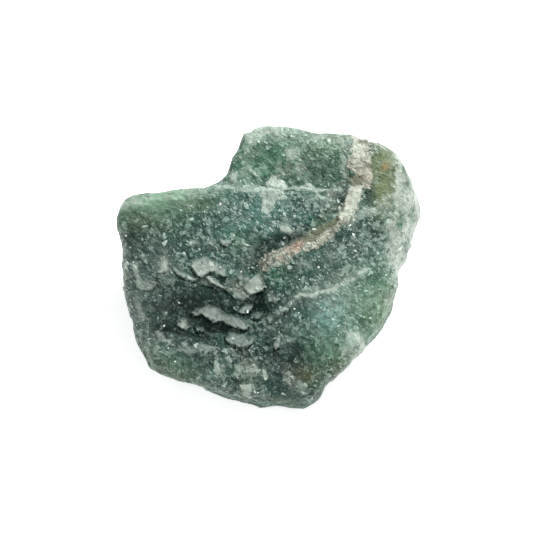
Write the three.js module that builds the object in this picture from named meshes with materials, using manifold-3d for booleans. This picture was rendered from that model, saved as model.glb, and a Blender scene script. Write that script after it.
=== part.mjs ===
// A rough piece of green amazonite, 51 mm across, as it lies on a table. One closed solid, in
// millimetres, with +Z up, the base on z = 0 and the origin at the middle of the piece's outline.
//
// The stone is worked out in the frame of its broad broken face: x runs across the face, y up the
// face, and h out of the face. The face leans towards the front, so the whole form is turned about
// X by FACE_LEAN at the end and its underside is broken off flat.

import * as THREE from 'three';
import { mergeVertices } from 'three/addons/utils/BufferGeometryUtils.js';
import Module from 'manifold-3d';

const wasm = await Module();
wasm.setup();

// Driving dimensions, in millimetres and degrees

const FACE_LEAN = 25;          // how far the broad face leans from level towards the front
const CENTRE_HEIGHT = 8.6;     // height of the form's centre above the table
const BASE_LOSS = 0.9;         // thickness broken off flat where the stone rests
const FACE_HEIGHT = 9.4;       // from the form's centre out to the broad face
const EDGE_ROUNDING = 18;      // exponent that joins the flat breaks: a higher one is sharper
const CENTRE_OFFSET = [-0.3, -1.4]; // moves the turned form so that its outline is centred

// The outline seen square to the face: [turn from the x axis in degrees, radius in millimetres].
const OUTLINE = [
  [0, 22.4], [8, 25.4], [12, 27.6], [16, 28.2], [20, 28.8], [24, 32.5], [30, 31.4], [37, 29.6],
  [44, 29.0], [48, 28.8], [52, 27.1], [60, 26.1], [68, 24.5], [76, 24.5], [84, 25.2], [92, 24.8],
  [97, 23.4], [100, 23.1], [104, 20.9], [108, 19.6], [112, 17.4], [116, 16.7], [120, 16.4], [124, 16.6],
  [128, 17.1], [136, 19.1], [144, 21.7], [152, 26.6], [156, 28.4], [160, 29.1], [164, 27.6], [168, 25.5],
  [176, 24.6], [184, 24.0], [190, 24.2], [200, 23.5], [208, 24.6], [216, 24.4], [220, 25.8], [224, 26.4],
  [228, 25.4], [236, 23.9], [240, 23.4], [248, 24.2], [256, 23.8], [264, 22.5], [272, 22.9], [280, 24.5],
  [288, 26.2], [292, 24.9], [296, 22.4], [300, 21.8], [308, 21.6], [316, 21.6], [324, 22.2], [332, 22.8],
  [340, 21.6], [348, 22.6], [354, 22.9],
];

// Flat breaks that the stone split along: [turn, lean towards the viewer, h where the break meets
// the outline]. A break with a negative lean undercuts the side below the outline.
const BREAKS = [
  [9, 29, 8], [38, 12, 6], [92, 38, 5.5], [184, 14, 10], [222, 26, 3], [262, 25, 3.5],
  [318, 30, 4], [350, 25, 3],
  [20, -35, -6], [50, -20, -5], [85, -16, 3], [130, -25, -10], [165, -30, -3], [200, -38, 0],
  [250, -30, 3], [290, -30, 3], [330, -40, 0],
];

// The broad face itself is three shallow breaks: [turn, lean, distance from the centre].
const FACE_BREAKS = [[250, 86, FACE_HEIGHT], [330, 82, FACE_HEIGHT + 0.9], [95, 78, FACE_HEIGHT + 1]];

// Soft hollows and swells on the face: [x, y, half length, half width, turn, height].
const SWELLS = [
  [-9, -8.2, 10, 4.2, -3, -2.7],     // the shaded hollow under the ledges
  [-8.5, -9.9, 2.8, 1.2, -8, -0.8],  // its deepest pit
  [-1.8, -5.1, 1.8, 2.2, 0, -1.8],   // the dark hole right of the ledges
  [14.3, -12.3, 2.2, 1.8, 0, 0.5],   // a smooth pale swell near the lower right edge
  [-17, -3, 5, 3, 70, 0.5],          // the left shoulder of the face
];

// The seam: a step across the face, up on its lower right side, with a groove along its other side.
const SEAM = [
  [-0.5, -11], [0.4, -7.5], [0.2, -4], [-1.4, -0.6], [0.3, 2.3], [4.8, 3.8], [7.7, 5.2], [11, 7.9],
  [13.8, 10.7], [15.4, 13.4], [16.8, 17],
];
const SEAM_STEP = 1.2, SEAM_GROOVE = 0.6, SEAM_SOFTNESS = 0.4, SEAM_FADE = 8, GROOVE_WIDTH = 1.4;

// The upper block lies behind the front slab, below a level crease.
const CREASE = [[-9.5, 13.9], [-7, 13.7], [-3.8, 13.1], [4.5, 13.4], [13, 13.1]];
const CREASE_STEP = 1.1, CREASE_SOFTNESS = 0.35, CREASE_FADE = 9;

// A long crack below the hollow.
const CRACK = [[-19.5, -9.2], [-15, -10.6], [-11, -11.4], [-7.4, -11.6]];
const CRACK_DEPTH = 0.7, CRACK_WIDTH = 0.6;

// Thin ledges that stand out of the face: the height of the lip at the lowest point, the slope of
// the top from the lip back, its rise to the right, the lip's thickness, and outline points [x, y].
const LEDGES = [
  // the pale plate
  { height: 10, slope: 0.28, crossSlope: 0, thickness: 1.5, outline: [
    [-12.8, 0.8], [-12.5, 1.6], [-11.7, 2.3], [-10.5, 2.6], [-9.5, 2.4], [-9, 1.9], [-8.6, 1.2],
    [-7.8, 0.8], [-6.9, 0.1], [-6.8, -0.8], [-7.3, -1], [-8.1, -0.7], [-8.8, -0.3],
    [-9.5, -0.4], [-10.4, -0.9], [-11.2, -0.9], [-12, -0.2]] },
  // a strip left of it
  { height: 9.64, slope: 0.33, crossSlope: -0.23, thickness: 1, outline: [
    [-15.8, 0.7], [-15.1, 0.9], [-14.2, 0.1], [-13.2, -0.3], [-12.2, -0.8], [-11.3, -1.3],
    [-11.7, -1.7], [-13, -1.5], [-14, -1.2], [-15, -0.6]] },
  // the terrace
  { height: 8.5, slope: 0, crossSlope: -0.06, thickness: 2, outline: [
    [-10.9, -2], [-10.5, -1.5], [-9.6, -1], [-8.3, -1.3], [-7.3, -1.9], [-6.5, -1.8],
    [-5.8, -1.2], [-5, -1.1], [-4, -1.5], [-3, -0.9], [-1.9, -0.4], [-1.3, -0.3], [-0.9, -1.1],
    [-0.5, -2], [-0.5, -2.8], [-1, -3.3], [-1.9, -3.7], [-2.8, -4], [-3.3, -4.5], [-4, -5],
    [-4.7, -4.9], [-5.5, -4.4], [-6.2, -3.7], [-6.9, -3.4], [-8.1, -3.3], [-9.1, -2.7],
    [-10, -2.5], [-10.8, -2.4]] },
  // the ridge on its left
  { height: 9.5, slope: 0.15, crossSlope: -0.24, thickness: 1.4, outline: [
    [-10, -1], [-9.2, -0.9], [-8.3, -1.4], [-7.4, -2.1], [-6.8, -2.8], [-6.9, -3.3],
    [-7.8, -2.8], [-8.8, -2.4], [-9.5, -1.9]] },
  // the bright lobe on its right
  { height: 8.8, slope: 0, crossSlope: 0.2, thickness: 2.6, outline: [
    [-4.2, -2.5], [-4, -1.9], [-3, -1.1], [-1.9, -0.5], [-1.3, -0.3], [-0.9, -1.1], [-0.5, -2],
    [-0.5, -2.8], [-1, -3.3], [-1.9, -3.7], [-2.8, -4], [-3.5, -3.7], [-4, -3.1]] },
  // a knob
  { height: 7.8, slope: 0.4, crossSlope: 0.15, thickness: 1.7, outline: [
    [-4.9, -6.7], [-4.6, -6.1], [-4, -5.3], [-3.1, -5.1], [-2.4, -5.5], [-2.4, -6.1],
    [-2.9, -6.6], [-3.6, -7.1], [-4.4, -7.1]] },
  // the lowest plate
  { height: 7.45, slope: 0.12, crossSlope: 0.03, thickness: 2.2, outline: [
    [-12.6, -6.6], [-12, -6.1], [-11.1, -6], [-10.4, -5.3], [-9.8, -5], [-8.9, -5.4],
    [-8.1, -5.8], [-7.3, -6.6], [-6.6, -7.1], [-5.7, -7.2], [-4.9, -7.2], [-4, -7.6],
    [-3.5, -8.5], [-3.1, -9.2], [-3.5, -9.7], [-4.2, -9.8], [-5.3, -9.5], [-6, -9.2],
    [-6.9, -8.9], [-7.4, -8.4], [-8.3, -8.5], [-9, -8.7], [-9.6, -8.1], [-10.3, -7.6],
    [-10.9, -7.2], [-11.4, -7.5], [-12, -7.5], [-12.6, -7.1]] },
  // a low dome
  { height: 8.5, slope: 0.72, crossSlope: 0.12, thickness: 1.4, outline: [
    [-7.3, -11], [-6.5, -10.2], [-5.5, -10], [-4.2, -10.2], [-3.2, -10.7], [-2.4, -11.4],
    [-2.6, -12.1], [-3.5, -12.5], [-4.7, -12.6], [-5.8, -12.2], [-6.8, -11.7]] },
  // a drop-shaped flake
  { height: 8.75, slope: 0.3, crossSlope: 0.12, thickness: 1.1, outline: [
    [0.8, -11.9], [1.1, -11], [1.8, -10.2], [2, -11], [2, -12.2], [1.5, -12.9], [1, -12.8]] },
  // a pebble
  { height: 9.3, slope: 0, crossSlope: 0.8, thickness: 1.2, outline: [
    [-0.3, -4], [0.5, -3.7], [1.4, -4.2], [1.8, -4.7], [1.2, -5.3], [0.3, -4.9]] },
  // a small flake higher up
  { height: 9.6, slope: 0.2, crossSlope: 0, thickness: 1, outline: [
    [-8, 5.5], [-6.2, 5.5], [-5.8, 4.7], [-6.7, 3.7], [-7.8, 4.3]] },
  // small crumbs around them
  { height: 8.05, slope: 0.2, crossSlope: 0.7, thickness: 0.9, outline: [
    [-0.3, -7.7], [0.4, -7.3], [1.1, -7.7], [0.8, -8.3], [0.3, -8.7]] },
  { height: 7.05, slope: 0.45, crossSlope: 0.15, thickness: 0.9, outline: [
    [-2.9, -7.5], [-2.5, -6.9], [-1.5, -6.8], [-0.9, -7.2], [-1.5, -8], [-2.5, -8]] },
  { height: 9.3, slope: 0, crossSlope: 0.25, thickness: 0.9, outline: [
    [1.8, -6.3], [2.8, -5.9], [3.5, -6.3], [3.1, -6.8], [2.1, -6.9]] },
  { height: 9.7, slope: 0.17, crossSlope: 0, thickness: 0.9, outline: [
    [-17.9, 1.4], [-16.9, 1.7], [-16.2, 1.2], [-16.6, -0.3], [-17.5, -0.5], [-17.8, 0.5]] },
  { height: 7.3, slope: 0.5, crossSlope: -0.5, thickness: 0.9, outline: [
    [-14.8, -8.1], [-13.6, -8.4], [-12.8, -9.4], [-13.3, -10.1], [-14.3, -9.5], [-15, -8.9]] },
  { height: 6.7, slope: 0.85, crossSlope: -0.35, thickness: 0.9, outline: [
    [-12.2, -9.5], [-11.1, -8.9], [-10.3, -9.3], [-10.6, -10.2], [-11.6, -10.2]] },
  // the upper end of the seam
  { height: 8.3, slope: 0.21, crossSlope: 0, thickness: 1.9, outline: [
    [12.9, 21], [14.4, 21.3], [15.9, 21.4], [17, 20.9], [16.9, 19.6], [17.1, 18.4],
    [16.8, 17.4], [17, 16.4], [16.8, 15], [16.6, 13.4], [14.8, 13.2], [12.9, 13.3], [12.7, 16],
    [12.9, 18.4]] },
  // the middle of the seam
  { height: 10.2, slope: 0.33, crossSlope: 0, thickness: 1.6, outline: [
    [13.3, 13.6], [15.2, 13.6], [15.4, 12.6], [14.9, 11.5], [14.6, 10.5], [14.8, 9.5],
    [13.9, 9], [13, 7.9], [11.5, 7.5], [11.3, 8.4], [12.1, 9.5], [12.3, 11], [12.6, 12.3]] },
];

const ROOT_SLOPE = 1;          // how fast a ledge thickens from its lip back into the stone

// How finely the form is divided: across the face, and down the sides.
const FACE_CELLS = 39, SIDE_CELLS = 11;
const STRETCH = [23, 22, 11]; // spreads the cells over the flat form

// What the breaking left: soft lumps, and hollow chips with sharp ridges between: [size, height].
const LUMPS = [[11, 0.9], [5, 0.4]];
const CHIPS = [[7, 1.3], [3.2, 0.45]];
const FACE_CALM = 0.4;         // share of both that is left on the broad face

const radians = THREE.MathUtils.degToRad;

// A number from 0 to 1 for each point of a lattice, always the same one.
function latticeValue(i, j, k) {
  const s = Math.sin(i * 12.9898 + j * 78.233 + k * 37.719) * 4375.8545;
  return s - Math.floor(s);
}

// Smooth noise from -1 to 1: the lattice's values, eased from point to point.
function noise(x, y, z) {
  const [i, j, k] = [x, y, z].map(Math.floor);
  const ease = (t) => t * t * (3 - 2 * t);
  const [u, v, w] = [ease(x - i), ease(y - j), ease(z - k)];
  let total = 0;
  for (const a of [0, 1]) {
    for (const b of [0, 1]) {
      for (const c of [0, 1]) {
        const weight = (a ? u : 1 - u) * (b ? v : 1 - v) * (c ? w : 1 - w);
        total += weight * latticeValue(i + a, j + b, k + c);
      }
    }
  }
  return 2 * total - 1;
}

// Chip depth from -1 at a chip's floor to about 1 on the ridges: the squared distance to the nearest
// of a lattice of scattered floors.
function chip(x, y, z) {
  const cell = [x, y, z].map(Math.floor);
  let nearest = Infinity;
  for (let n = 0; n < 27; n++) {
    const [i, j, k] = [cell[0] + n % 3 - 1, cell[1] + Math.floor(n / 3) % 3 - 1,
      cell[2] + Math.floor(n / 9) - 1];
    const floor = [latticeValue(i, j, k + 0.3), latticeValue(i + 0.3, j, k), latticeValue(i, j + 0.3, k)];
    const gap = (x - i - floor[0]) ** 2 + (y - j - floor[1]) ** 2 + (z - k - floor[2]) ** 2;
    nearest = Math.min(nearest, gap);
  }
  return Math.min(2.5 * nearest - 1, 1);
}

// The outline's radius at a turn: a smooth closed curve through the listed points.
function outlineRadius(turn) {
  const count = OUTLINE.length;
  const degrees = (THREE.MathUtils.radToDeg(turn) + 360) % 360;
  let i = OUTLINE.findIndex(([at]) => at > degrees);
  if (i < 0) i = count;
  const at = (n) => {
    const [angle, radius] = OUTLINE[(n + count) % count];
    return [angle + 360 * Math.floor(n / count), radius];
  };
  const [p, q, r, s] = [at(i - 2), at(i - 1), at(i), at(i + 1)];
  const t = (degrees - q[0]) / (r[0] - q[0]);
  const slopeStart = ((r[1] - p[1]) / (r[0] - p[0])) * (r[0] - q[0]);
  const slopeEnd = ((s[1] - q[1]) / (s[0] - q[0])) * (r[0] - q[0]);
  return (2 * t ** 3 - 3 * t ** 2 + 1) * q[1] + (t ** 3 - 2 * t ** 2 + t) * slopeStart
    + (3 * t ** 2 - 2 * t ** 3) * r[1] + (t ** 3 - t ** 2) * slopeEnd;
}

function breakNormal(turn, lean) {
  const [a, b] = [radians(turn), radians(lean)];
  return new THREE.Vector3(Math.cos(a) * Math.cos(b), Math.sin(a) * Math.cos(b), Math.sin(b));
}

// Every flat break as an outward normal and a distance from the centre, the base among them.
const planes = [
  ...BREAKS.map(([turn, lean, meets]) => ({
    normal: breakNormal(turn, lean),
    distance: Math.cos(radians(lean)) * outlineRadius(radians(turn))
      + Math.sin(radians(lean)) * meets,
  })),
  ...FACE_BREAKS.map(([turn, lean, distance]) => ({ normal: breakNormal(turn, lean), distance })),
  { normal: breakNormal(270, FACE_LEAN - 90), distance: CENTRE_HEIGHT + BASE_LOSS },
];

// Distance from the centre to the form in a direction: the nearest of all the breaks and of the
// outline's own wall, joined by a power mean so that the edges between them are rounded.
function formRadius(direction) {
  const across = Math.hypot(direction.x, direction.y);
  const wall = outlineRadius(Math.atan2(direction.y, direction.x));
  let sum = (across / wall) ** EDGE_ROUNDING;
  for (const { normal, distance } of planes) {
    const share = direction.dot(normal) / distance;
    if (share > 0) sum += share ** EDGE_ROUNDING;
  }
  return sum ** (-1 / EDGE_ROUNDING);
}

// Signed distance from a point to an open chain of points (positive to the right of its way), and
// the share of the chain's run at the nearest point.
function chainDistance(chain, x, y) {
  let best = { distance: Infinity, side: 1, share: 0 };
  for (let i = 0; i + 1 < chain.length; i++) {
    const [[ax, ay], [bx, by]] = [chain[i], chain[i + 1]];
    const [dx, dy] = [bx - ax, by - ay];
    const t = THREE.MathUtils.clamp(((x - ax) * dx + (y - ay) * dy) / (dx * dx + dy * dy), 0, 1);
    const distance = Math.hypot(x - ax - t * dx, y - ay - t * dy);
    if (distance < best.distance) {
      const side = (x - ax) * dy - (y - ay) * dx > 0 ? 1 : -1;
      best = { distance, side, share: (i + t) / (chain.length - 1) };
    }
  }
  return best;
}

// Falls from 1 inside a chain's run to 0 at its two ends.
const alongRun = (share) => THREE.MathUtils.smoothstep(share, 0, 0.25)
  * (1 - THREE.MathUtils.smoothstep(share, 0.8, 1));

// What is added to h at a place on the face: hollows, the seam, the crease and the crack.
function faceRelief(x, y) {
  let height = 0;
  for (const [cx, cy, length, width, turn, rise] of SWELLS) {
    const [c, s] = [Math.cos(radians(turn)), Math.sin(radians(turn))];
    const u = ((x - cx) * c + (y - cy) * s) / length;
    const v = (-(x - cx) * s + (y - cy) * c) / width;
    height += rise * Math.exp(-u * u - v * v);
  }
  const seam = chainDistance(SEAM, x, y);
  const beyond = seam.distance * seam.side;
  const rise = 0.5 + 0.5 * Math.tanh(beyond / SEAM_SOFTNESS);
  height += SEAM_STEP * rise * Math.exp(-seam.distance / SEAM_FADE) * alongRun(seam.share);
  height -= SEAM_GROOVE * Math.exp(-(((beyond + 1.1) / GROOVE_WIDTH) ** 2)) * alongRun(seam.share);

  const crease = chainDistance(CREASE, x, y);
  const behind = -crease.distance * crease.side;
  const drop = 0.5 + 0.5 * Math.tanh(behind / CREASE_SOFTNESS);
  const fade = (1 - crease.share) * Math.exp(-crease.distance / CREASE_FADE);
  height -= CREASE_STEP * drop * fade;

  const crack = chainDistance(CRACK, x, y);
  height -= CRACK_DEPTH * Math.exp(-((crack.distance / CRACK_WIDTH) ** 2)) * alongRun(crack.share);
  return height;
}

// The stone's surface in a direction from its centre, in the frame of the face.
function surfacePoint(direction) {
  const point = direction.clone().multiplyScalar(formRadius(direction));
  const facing = THREE.MathUtils.smoothstep(point.z, 2, 7); // 1 on the broad face, 0 on the sides
  const calm = THREE.MathUtils.lerp(1, FACE_CALM, facing);
  const { x, y, z } = point;
  let rise = 0;
  for (const [size, height] of LUMPS) rise += height * noise(x / size, y / size, z / size);
  for (const [size, height] of CHIPS) rise += 0.5 * height * chip(x / size, y / size, z / size);
  point.addScaledVector(direction, rise * calm);
  point.z += facing * faceRelief(point.x, point.y);
  return point;
}

// A cube of cells blown up into the form: six grids of directions, welded along their edges.
function formGeometry() {
  const positions = [];
  const grids = [
    [[0, 0, 1], [1, 0, 0], [0, 1, 0], FACE_CELLS, FACE_CELLS],
    [[0, 0, -1], [-1, 0, 0], [0, 1, 0], FACE_CELLS, FACE_CELLS],
    [[1, 0, 0], [0, 1, 0], [0, 0, 1], FACE_CELLS, SIDE_CELLS],
    [[-1, 0, 0], [0, -1, 0], [0, 0, 1], FACE_CELLS, SIDE_CELLS],
    [[0, 1, 0], [-1, 0, 0], [0, 0, 1], FACE_CELLS, SIDE_CELLS],
    [[0, -1, 0], [1, 0, 0], [0, 0, 1], FACE_CELLS, SIDE_CELLS],
  ];
  for (const [out, right, up, columns, rows] of grids) {
    const corner = (i, j) => {
      const [u, v] = [i / columns, j / rows].map((t) => Math.tan((t - 0.5) * Math.PI / 2));
      const cube = out.map((c, axis) => c + right[axis] * u + up[axis] * v);
      const direction = new THREE.Vector3(...cube).normalize()
        .multiply(new THREE.Vector3(...STRETCH)).normalize();
      return surfacePoint(direction).toArray();
    };
    for (let i = 0; i < columns; i++) {
      for (let j = 0; j < rows; j++) {
        const [a, b, c, d] = [corner(i, j), corner(i + 1, j), corner(i + 1, j + 1), corner(i, j + 1)];
        positions.push(...a, ...b, ...c, ...a, ...c, ...d);
      }
    }
  }
  const geometry = new THREE.BufferGeometry();
  geometry.setAttribute('position', new THREE.Float32BufferAttribute(positions, 3));
  return geometry;
}

// One ledge: its outline pushed out to a wedge, thin at the lip and rooted deep in the stone.
function ledgeGeometry({ outline, height, slope, crossSlope, thickness }) {
  const shape = new THREE.Shape(outline.map(([x, y]) => new THREE.Vector2(x, y)));
  const geometry = new THREE.ExtrudeGeometry(shape, { depth: thickness, bevelEnabled: false });
  const lip = Math.min(...outline.map(([, y]) => y));
  const middle = outline.reduce((sum, [x]) => sum + x, 0) / outline.length;
  const place = geometry.attributes.position;
  for (let i = 0; i < place.count; i++) {
    const back = place.getY(i) - lip;
    const top = height - slope * back + crossSlope * (place.getX(i) - middle);
    const below = place.getZ(i) < thickness / 2 ? thickness + ROOT_SLOPE * back : 0;
    place.setZ(i, top - below);
  }
  return geometry;
}

// A closed geometry as a solid for cutting and joining.
function solid(geometry) {
  const bare = geometry.index ? geometry.toNonIndexed() : geometry;
  bare.deleteAttribute('normal');
  bare.deleteAttribute('uv');
  const merged = mergeVertices(bare, 1e-4);
  return new wasm.Manifold(new wasm.Mesh({
    numProp: 3,
    vertProperties: merged.attributes.position.array,
    triVerts: new Uint32Array(merged.index.array),
  }));
}

function geometryOf(manifold) {
  const mesh = manifold.getMesh();
  const geometry = new THREE.BufferGeometry();
  geometry.setAttribute('position', new THREE.BufferAttribute(mesh.vertProperties, 3));
  geometry.setIndex(new THREE.BufferAttribute(mesh.triVerts, 1));
  geometry.computeVertexNormals();
  return geometry;
}

// Turns a geometry from the frame of the face to the frame of the table.
function layDown(geometry) {
  return geometry.rotateX(radians(FACE_LEAN)).translate(...CENTRE_OFFSET, CENTRE_HEIGHT);
}

// The form with its ledges, broken off flat where it lies on the table.
function stone() {
  let body = solid(layDown(formGeometry()));
  for (const ledge of LEDGES) body = body.add(solid(layDown(ledgeGeometry(ledge))));
  const BELOW = 40;
  const table = new THREE.BoxGeometry(4 * BELOW, 4 * BELOW, BELOW).translate(0, 0, -BELOW / 2);
  return geometryOf(body.subtract(solid(table)));
}

const amazonite = new THREE.MeshStandardMaterial({ color: 0x5f7a6e, roughness: 0.55, metalness: 0 });

const group = new THREE.Group();
const mesh = new THREE.Mesh(stone(), amazonite);
mesh.name = 'rough_stone';
group.add(mesh);

export default group;
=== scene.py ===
# %% [markdown]
# # A rough piece of green amazonite
# This lesson dresses one broken stone, 51 mm across, that lies on a pale table. The stone's main
# form comes from the part's own formula, so the look and the solid agree. On top of it come the
# thin ledges, the pits, the sugary grain and the colours, all worked out as whole arrays.

# %% Load the frame
import math

import bpy
import numpy as np
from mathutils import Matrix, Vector


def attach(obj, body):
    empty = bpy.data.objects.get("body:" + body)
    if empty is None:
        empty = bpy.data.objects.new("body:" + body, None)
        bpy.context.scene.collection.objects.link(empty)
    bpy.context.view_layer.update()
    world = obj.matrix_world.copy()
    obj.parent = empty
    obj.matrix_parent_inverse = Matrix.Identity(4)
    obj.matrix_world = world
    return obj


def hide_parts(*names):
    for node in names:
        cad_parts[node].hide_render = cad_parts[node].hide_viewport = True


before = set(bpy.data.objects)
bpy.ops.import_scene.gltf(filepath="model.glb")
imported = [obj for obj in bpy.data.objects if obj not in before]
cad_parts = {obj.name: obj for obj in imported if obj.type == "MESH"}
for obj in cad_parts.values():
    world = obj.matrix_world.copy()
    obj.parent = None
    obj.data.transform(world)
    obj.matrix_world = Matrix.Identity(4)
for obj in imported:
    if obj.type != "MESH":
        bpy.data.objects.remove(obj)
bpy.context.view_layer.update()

# %% [markdown]
# ## The frame of the broad face
# The stone lies on its back, and its broad broken face leans 25 degrees towards the front. The
# form is easiest to describe square to that face: x runs across it, y up it and h out of it, all
# in millimetres. One turn about X then lays the form down, as it does for the solid.

# %% Place of the face
FACE_LEAN = math.radians(25)
CENTRE = np.array([-0.3, -1.4, 8.6])  # the form's centre over the table, in millimetres
MILLIMETRE = 0.001


def lay_down(points):
    """Turns points of the face's frame by FACE_LEAN about X, lifts them by CENTRE, in metres."""
    c, s = math.cos(FACE_LEAN), math.sin(FACE_LEAN)
    x, y, h = points[:, 0], points[:, 1], points[:, 2]
    turned = np.stack([x, y * c - h * s, y * s + h * c], axis=1)
    return (turned + CENTRE) * MILLIMETRE


def table_height(points):
    """Height over the table, in millimetres, of points of the face's frame."""
    return lay_down(points)[:, 2] / MILLIMETRE


print("face origin on the table frame:", lay_down(np.zeros((1, 3)))[0].round(4))

# %% [markdown]
# ## Camera
# The photograph looks nearly square at the broad face, from 65 degrees above the table. A long
# lens keeps the outline free of strong perspective, as in a picture taken for a catalogue.

# %% Camera
CAMERA_ELEVATION = math.radians(65)
CAMERA_DISTANCE = 0.365
LENS = 150.0
AIM = np.array([[-0.25, 0.6, 5.0]])  # the point of the face's frame in the middle of the picture

back = Vector((0, -math.cos(CAMERA_ELEVATION), math.sin(CAMERA_ELEVATION)))
camera_data = bpy.data.cameras.new("camera")
camera_data.lens = LENS
camera_data.sensor_width = 36.0
camera_data.clip_start = 0.01
camera = bpy.data.objects.new("camera", camera_data)
camera.location = Vector(lay_down(AIM)[0]) + back * CAMERA_DISTANCE
camera.rotation_euler = (-back).to_track_quat("-Z", "Y").to_euler()
bpy.context.scene.collection.objects.link(camera)
bpy.context.scene.camera = camera
print("camera at", [round(v, 3) for v in camera.location])

# %% [markdown]
# ## Even noise and chips
# A break in stone leaves soft lumps, and hollow chips with sharp ridges between them. Both come
# from a fixed lattice of numbers, so the stone is the same each time. These two formulas are the
# solid's own: with them the fine surface follows the coarse one.

# %% Lumps and chips
def lattice_value(i, j, k):
    """What is left after the point of a large multiple of a sine: 0 to 1 for each lattice point."""
    s = np.sin(i * 12.9898 + j * 78.233 + k * 37.719) * 4375.8545
    return s - np.floor(s)


def lumps(points, size):
    """Smooth noise from -1 to 1: the lattice's values, eased from point to point."""
    cell = np.floor(points / size)
    t = points / size - cell
    t = t * t * (3 - 2 * t)
    total = np.zeros(len(points))
    for corner in np.ndindex(2, 2, 2):
        weight = np.prod(np.where(corner, t, 1 - t), axis=1)
        total += weight * lattice_value(*(cell + corner).T)
    return 2 * total - 1


def scattered_gaps(points, size):
    """Squared distances, in cells, to the two nearest of a lattice of scattered points."""
    place = points / size
    cell = np.floor(place)
    first = np.full(len(points), np.inf)
    second = first.copy()
    for step in np.ndindex(3, 3, 3):
        i, j, k = (cell + step - 1).T
        seed = np.stack(
            [
                lattice_value(i, j, k + 0.3),
                lattice_value(i + 0.3, j, k),
                lattice_value(i, j + 0.3, k),
            ],
            axis=1,
        )
        gap = ((place - np.stack([i, j, k], axis=1) - seed) ** 2).sum(axis=1)
        second = np.minimum(second, np.maximum(first, gap))
        first = np.minimum(first, gap)
    return first, second


def chips(points, size):
    """-1 on a chip's floor to 1 on its ridges: the squared distance to the nearest floor."""
    return np.minimum(2.5 * scattered_gaps(points, size)[0] - 1, 1)


def smooth(value, low, high):
    """Rises from 0 at low to 1 at high along a cubic."""
    t = np.clip((value - low) / (high - low), 0, 1)
    return t * t * (3 - 2 * t)


# %% [markdown]
# ## The main form
# The outline seen square to the face is a smooth closed curve. Flat breaks cut the form above and
# below it. In each direction from the centre, the surface lies where the nearest of them is, and a
# power mean of all of them rounds the edges between. A carved mesh would look the same, but this
# way every number is a place or a size on the stone.

# %% Outline and breaks
EDGE_ROUNDING = 18
FACE_HEIGHT = 9.4
BASE_LOSS = 0.9

# turn from the x axis in degrees, radius in millimetres
OUTLINE = np.array([
    [0, 22.4], [8, 25.4], [12, 27.6], [16, 28.2], [20, 28.8], [24, 32.5], [30, 31.4], [37, 29.6],
    [44, 29], [48, 28.8], [52, 27.1], [60, 26.1], [68, 24.5], [76, 24.5], [84, 25.2], [92, 24.8],
    [97, 23.4], [100, 23.1], [104, 20.9], [108, 19.6], [112, 17.4], [116, 16.7], [120, 16.4],
    [124, 16.6], [128, 17.1], [136, 19.1], [144, 21.7], [152, 26.6], [156, 28.4], [160, 29.1],
    [164, 27.6], [168, 25.5], [176, 24.6], [184, 24.0], [190, 24.2], [200, 23.5], [208, 24.6], [216, 24.4],
    [220, 25.8], [224, 26.4], [228, 25.4], [236, 23.9], [240, 23.4], [248, 24.2], [256, 23.8],
    [264, 22.5], [272, 22.9], [280, 24.5], [288, 26.2], [292, 24.9], [296, 22.4], [300, 21.8],
    [308, 21.6], [316, 21.6], [324, 22.2], [332, 22.8], [340, 21.6], [348, 22.6], [354, 22.9],
])  # fmt: skip

# turn, lean towards the viewer, and the h at which the break meets the outline
BREAKS = [
    (9, 29, 8), (38, 12, 6), (92, 38, 5.5), (184, 14, 10), (222, 26, 3), (262, 25, 3.5),
    (318, 30, 4), (350, 25, 3), (20, -35, -6), (50, -20, -5), (85, -16, 3), (130, -25, -10),
    (165, -30, -3), (200, -38, 0), (250, -30, 3), (290, -30, 3), (330, -40, 0),
]  # fmt: skip

# turn, lean and distance from the centre, of the three shallow breaks that make the face
FACE_BREAKS = [(250, 86, FACE_HEIGHT), (330, 82, FACE_HEIGHT + 0.9), (95, 78, FACE_HEIGHT + 1)]


def outline_radius(turn):
    """Radius at a turn in radians: a cubic from point to point, with each point's own slope."""
    angle = np.concatenate([OUTLINE[:, 0] - 360, OUTLINE[:, 0], OUTLINE[:, 0] + 360])
    radius = np.tile(OUTLINE[:, 1], 3)
    degrees = np.degrees(turn) % 360
    i = np.searchsorted(angle, degrees, side="right")
    run = angle[i] - angle[i - 1]
    t = (degrees - angle[i - 1]) / run
    slope_start = (radius[i] - radius[i - 2]) / (angle[i] - angle[i - 2]) * run
    slope_end = (radius[i + 1] - radius[i - 1]) / (angle[i + 1] - angle[i - 1]) * run
    return (
        (2 * t**3 - 3 * t**2 + 1) * radius[i - 1]
        + (t**3 - 2 * t**2 + t) * slope_start
        + (3 * t**2 - 2 * t**3) * radius[i]
        + (t**3 - t**2) * slope_end
    )


def break_normal(turn, lean):
    """Outward normal of a break from its turn and lean in degrees."""
    a, b = math.radians(turn), math.radians(lean)
    return np.array([math.cos(a) * math.cos(b), math.sin(a) * math.cos(b), math.sin(b)])


planes = [(break_normal(turn, lean), far) for turn, lean, far in FACE_BREAKS]
planes.append((break_normal(270, 25 - 90), CENTRE[2] + BASE_LOSS))
for turn, lean, meets in BREAKS:
    a, b = math.radians(turn), math.radians(lean)
    planes.append((break_normal(turn, lean), math.cos(b) * outline_radius(a) + math.sin(b) * meets))


def form_radius(directions):
    """Power mean of the shares that the outline's wall and all the breaks have of a ray."""
    across = np.hypot(directions[:, 0], directions[:, 1])
    wall = outline_radius(np.arctan2(directions[:, 1], directions[:, 0]))
    total = (across / wall) ** EDGE_ROUNDING
    for normal, distance in planes:
        total += np.maximum(directions @ normal / distance, 0) ** EDGE_ROUNDING
    return total ** (-1 / EDGE_ROUNDING)


print("breaks:", len(planes), "outline points:", len(OUTLINE))

# %% [markdown]
# ## Relief of the face
# The face carries a shaded hollow with its pit, a step along the pale seam, a crease below the
# upper block and a crack. Each is a height added to h, as a function of the place on the face.

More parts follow.
